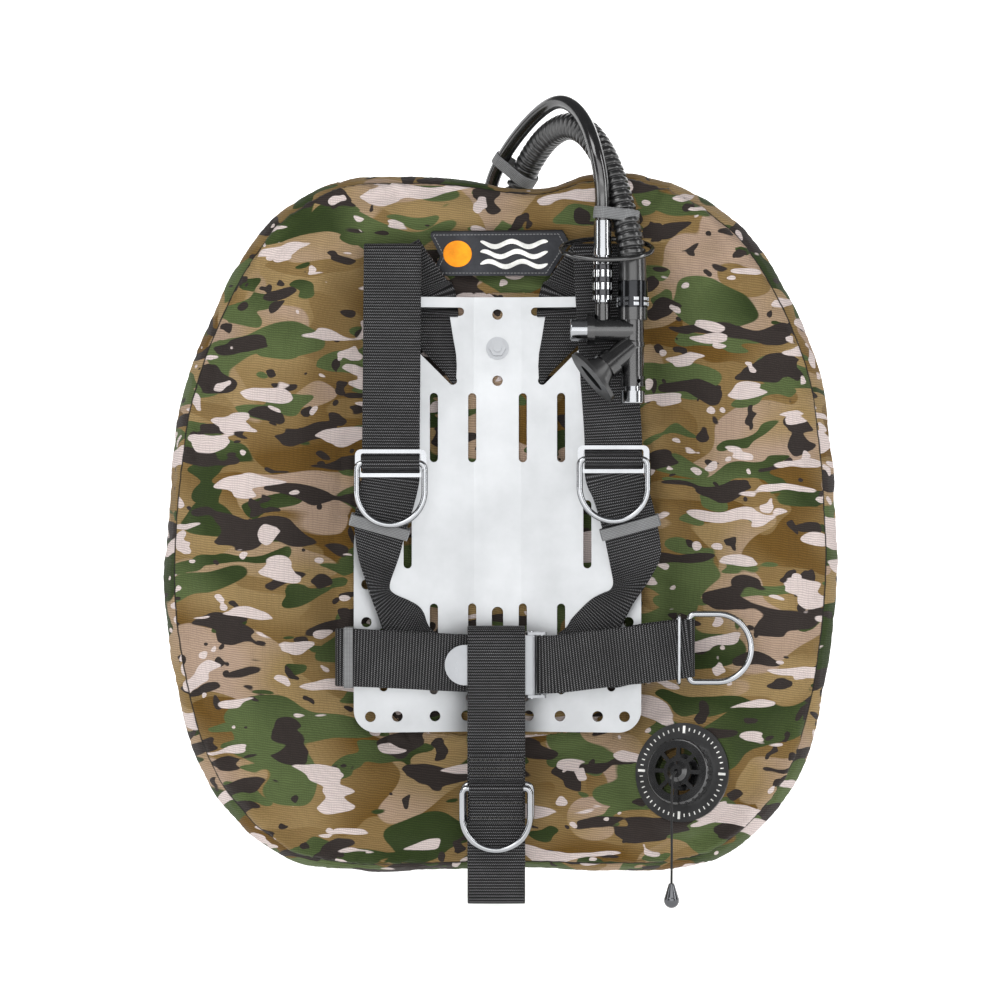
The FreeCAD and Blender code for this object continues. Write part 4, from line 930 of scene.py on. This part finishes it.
# -------- small details

def ring_marks(paint):
    """Plain white ticks round the dump valve's ring."""
    side = unit(np.cross(DUMP_AXIS, Z))
    up = np.cross(side, DUMP_AXIS)
    face = DUMP_FACE - DUMP_AXIS * 11.25
    verts, faces = [], []
    for k in range(48):
        turn = 2 * math.pi * k / 48
        long_one = k % 12 == 0
        inner, outer = (34.0, 40.5) if long_one else (36.0, 38.8)
        half = 0.03 if long_one else 0.012
        first = len(verts)
        for lift in (0.0, 0.35):
            for r, t in ((inner, -half), (outer, -half), (outer, half), (inner, half)):
                a, b = math.cos(turn + t * 36 / r), math.sin(turn + t * 36 / r)
                verts.append(face + side * (r * a) + up * (r * b) + DUMP_AXIS * lift)
        sides = ((4, 5, 6, 7), (0, 1, 5, 4), (1, 2, 6, 5), (2, 3, 7, 6), (3, 0, 4, 7))
        faces += [tuple(first + i for i in side_of) for side_of in sides]
    mesh_piece("valve_ring_ticks", verts, faces, paint["white"], smooth=False)


def emblem(paint):
    """Generic badge: stitched rim, an orange disc and three white waves."""
    up, out = unit(vec(0, -0.475, 0.88)), unit(vec(0, -0.88, -0.475))
    base = vec(0, -20.2, 205) + out * 3.75
    rim = np.array([(-58, 0), (-50, 16), (-60, 36), (57, 37), (63, 27), (46, 0)], float) / (1, 0.88)
    centre = rim.mean(0)

    def at(a, b):
        return base + X * a + up * b
    inset = centre + (rim - centre) * (0.93, 0.88)
    closed = np.vstack([inset, inset[:1]])
    points = np.array([at(a, b) for a, b in along_path(closed, 1.0)[0]])
    stitches("badge_rim_stitches", [(points, np.tile(out, (len(points), 1)))], paint["elastic"],
             3.0, 2.4, 0.5)
    turns = np.linspace(0, 2 * np.pi, 40, endpoint=False)
    disc = [(-35 + 12.5 * math.cos(t), 21 + 12.5 * math.sin(t)) for t in turns]
    raised_shape("badge_disc", disc, base, X, up, 0.9, paint["orange"])
    for row in range(3):
        xs = np.linspace(-15, 44, 30)
        middle = 11.5 + 9.5 * row + 2.6 * np.sin((xs + 15) / 59 * 4 * np.pi + row)
        half = 2.2 * np.sqrt(np.clip(1 - ((xs - 14.5) / 29.6) ** 8, 0, 1))
        wave = list(zip(xs, middle + half)) + list(zip(xs[::-1], (middle - half)[::-1]))
        strip(f"badge_wave_{row}", wave, base, up, out, paint)


def strip(name, outline, base, up, out, paint):
    """A raised ribbon whose outline runs along its top edge and back along its lower edge."""
    half = len(outline) // 2
    top, low = outline[:half], outline[half:][::-1]
    verts = []
    for lift in (0.0, 0.8):
        for (a, b), (c, d) in zip(top, low):
            verts += [base + X * a + up * b + out * lift, base + X * c + up * d + out * lift]
    faces = [(2 * half + 2 * i, 2 * half + 2 * i + 1, 2 * half + 2 * i + 3, 2 * half + 2 * i + 2)
             for i in range(half - 1)]
    for edge in (0, 1):
        faces += [(2 * i + edge, 2 * i + 2 + edge, 2 * half + 2 * i + 2 + edge, 2 * half + 2 * i + edge)
                  for i in range(half - 1)]
    mesh_piece(name, verts, faces, paint["white"], smooth=False)


def clamp_lugs(paint):
    """Bright lugs in two rows round the clamp on the inflator's cuff."""
    verts, faces = [], []
    for turn in np.radians(np.arange(9) * 40 - 159):
        for row_z in (174.3, 178.7):
            first = len(verts)
            for lift, inset in ((0.0, 0.0), (0.9, 0.0), (1.2, 0.4)):
                for a, b in ((-1, -1), (1, -1), (1, 1), (-1, 1)):
                    t = turn + a * (0.165 - inset * 0.06)
                    r = 12.75 + lift
                    verts.append((116.3 + r * math.cos(t), -76 + r * math.sin(t), row_z + b * (1.6 - inset)))
            faces += grid_faces(3, 4, wrap_columns=True, offset=first) + [tuple(range(first + 8, first + 12))]
    mesh_piece("clamp_lugs", verts, faces, paint["steel"], smooth=False)


def elbow_band(paint):
    """Steel band with a worm housing that holds the hose on the wing's elbow."""
    turns = np.linspace(0, 2 * np.pi, 48, endpoint=False)
    outward = [vec(math.cos(t), math.sin(t), 0) for t in turns]
    loop = [vec(16, 42, 262) + o * 11.8 for o in outward]
    loop_band("elbow_band", loop, outward, Z, 9.0, 0.8, paint["steel"])
    line = np.array([vec(16 + x, 56.2, 262) for x in np.linspace(-8, 8, 9)])
    tube("elbow_band_screw", line, [2.2] + [3.2] * 7 + [2.2], paint["steel"], around=20)


CAD_LOOKS = {
    "plate": ["backplate"],
    "satin": ["mounting_studs", "stud_nuts_rear", "stud_washers_rear", "stud_washers_front",
              "stud_nuts_front", "buckle_frame", "buckle_lever"],
    "steel": ["inflate_button", "inflate_spring", "deflate_button", "deflate_spring", "dump_spring",
              "qd_coupler", "shoulder_slides", "shoulder_d_ring_left", "shoulder_d_ring_right",
              "crotch_d_ring_front", "crotch_d_ring_rear", "hip_d_ring", "hip_keeper",
              "buckle_pin", "hose_ferrules", "first_stage_fitting"],
    "knurled": ["qd_sleeve"],
    "dark_steel": ["hose_clamp"],
    "brass": ["wing_grommets"],
    "plastic": ["inflator_body", "inflate_collar", "bottom_collar", "mouthpiece_collar", "inflator_nipple",
                "dump_valve_cap", "dump_valve_base", "dump_poppet", "elbow_flange", "wing_elbow"],
    "rubber": ["mouthpiece", "dump_valve_ring"],
    "gloss": ["retaining_ring"],
    "patch": ["emblem_patch"],
    "knob": ["pull_knob"],
}


def paint_cad(paint):
    for look, names in CAD_LOOKS.items():
        for name in names:
            mesh = NODES[name].data
            mesh.materials.clear()
            mesh.materials.append(paint[look])


# -------- stage and light

def stage():
    """Seamless pale sheet: a floor that curves up into a wall behind."""
    base = cad_box[0].z - 0.002
    profile = [(y, base) for y in np.linspace(-24, 3, 28)]
    bend = 1.5
    for t in np.linspace(0.1, math.pi / 2, 15):
        profile.append((3 + bend * math.sin(t), base + bend * (1 - math.cos(t))))
    profile += [(3 + bend, base + 2.2), (3 + bend, base + 5.0)]
    verts = [(x, y, z) for y, z in profile for x in (-20, 20)]
    mesh = bpy.data.meshes.new("backdrop")
    mesh.from_pydata(verts, [], grid_faces(len(profile), 2))
    mesh.shade_smooth()
    sheet = bpy.data.objects.new("backdrop", mesh)
    SCENE.collection.objects.link(sheet)
    paint = Paint("backdrop_pale", Roughness=0.9, Emission_Color=(1, 1, 1, 1))
    paint.color(paint.ramp(paint.noise(3.0), [(0.2, (0.80, 0.80, 0.80, 1)), (0.8, (0.84, 0.84, 0.84, 1))]))
    glow = paint.add("MapRange", {"Value": paint.parts(paint.place)[1], "From Min": 0.4, "From Max": 2.2,
                                  "To Min": 0.72, "To Max": 1.0}).outputs[0]
    paint.tree.links.new(glow, paint.bsdf.inputs["Emission Strength"])
    mesh.materials.append(paint.material)
    world = bpy.data.worlds.new("studio")
    world.use_nodes = True
    SCENE.world = world
    world.node_tree.nodes["Background"].inputs["Color"].default_value = (0.98, 0.98, 1.0, 1)
    world.node_tree.nodes["Background"].inputs["Strength"].default_value = 0.17


def lamp(name, place, size, power):
    """Rectangular lamp that faces the origin."""
    data = bpy.data.lights.new(name, "AREA")
    data.shape = "RECTANGLE"
    data.size, data.size_y = size
    data.energy = power
    made = bpy.data.objects.new(name, data)
    SCENE.collection.objects.link(made)
    made.location = place
    made.rotation_euler = (-Vector(place)).to_track_quat("-Z", "Y").to_euler()


def lights():
    lamp("key", (-1.3, -2.0, 1.9), (1.6, 1.2), 26)
    lamp("front", (0.1, -3.1, 0.5), (3.6, 2.0), 46)
    lamp("right", (2.0, -1.0, 0.7), (0.4, 1.8), 14)
    lamp("left", (-2.2, -0.7, 0.1), (0.4, 1.8), 10)
    lamp("behind", (0.4, 2.4, 1.6), (2.0, 1.4), 16)


camera()
paint = paint_all()
hoses(paint)
paint_cad(paint)
wing(paint)
centre_panel(paint)
shoulder_strap("left", paint)
shoulder_strap("right", paint)
belt_left(paint)
belt_right(paint)
crotch_strap(paint)
keepers(paint)
ring_marks(paint)
emblem(paint)
clamp_lugs(paint)
elbow_band(paint)
stage()
lights()
SCENE.view_settings.view_transform = "Standard"
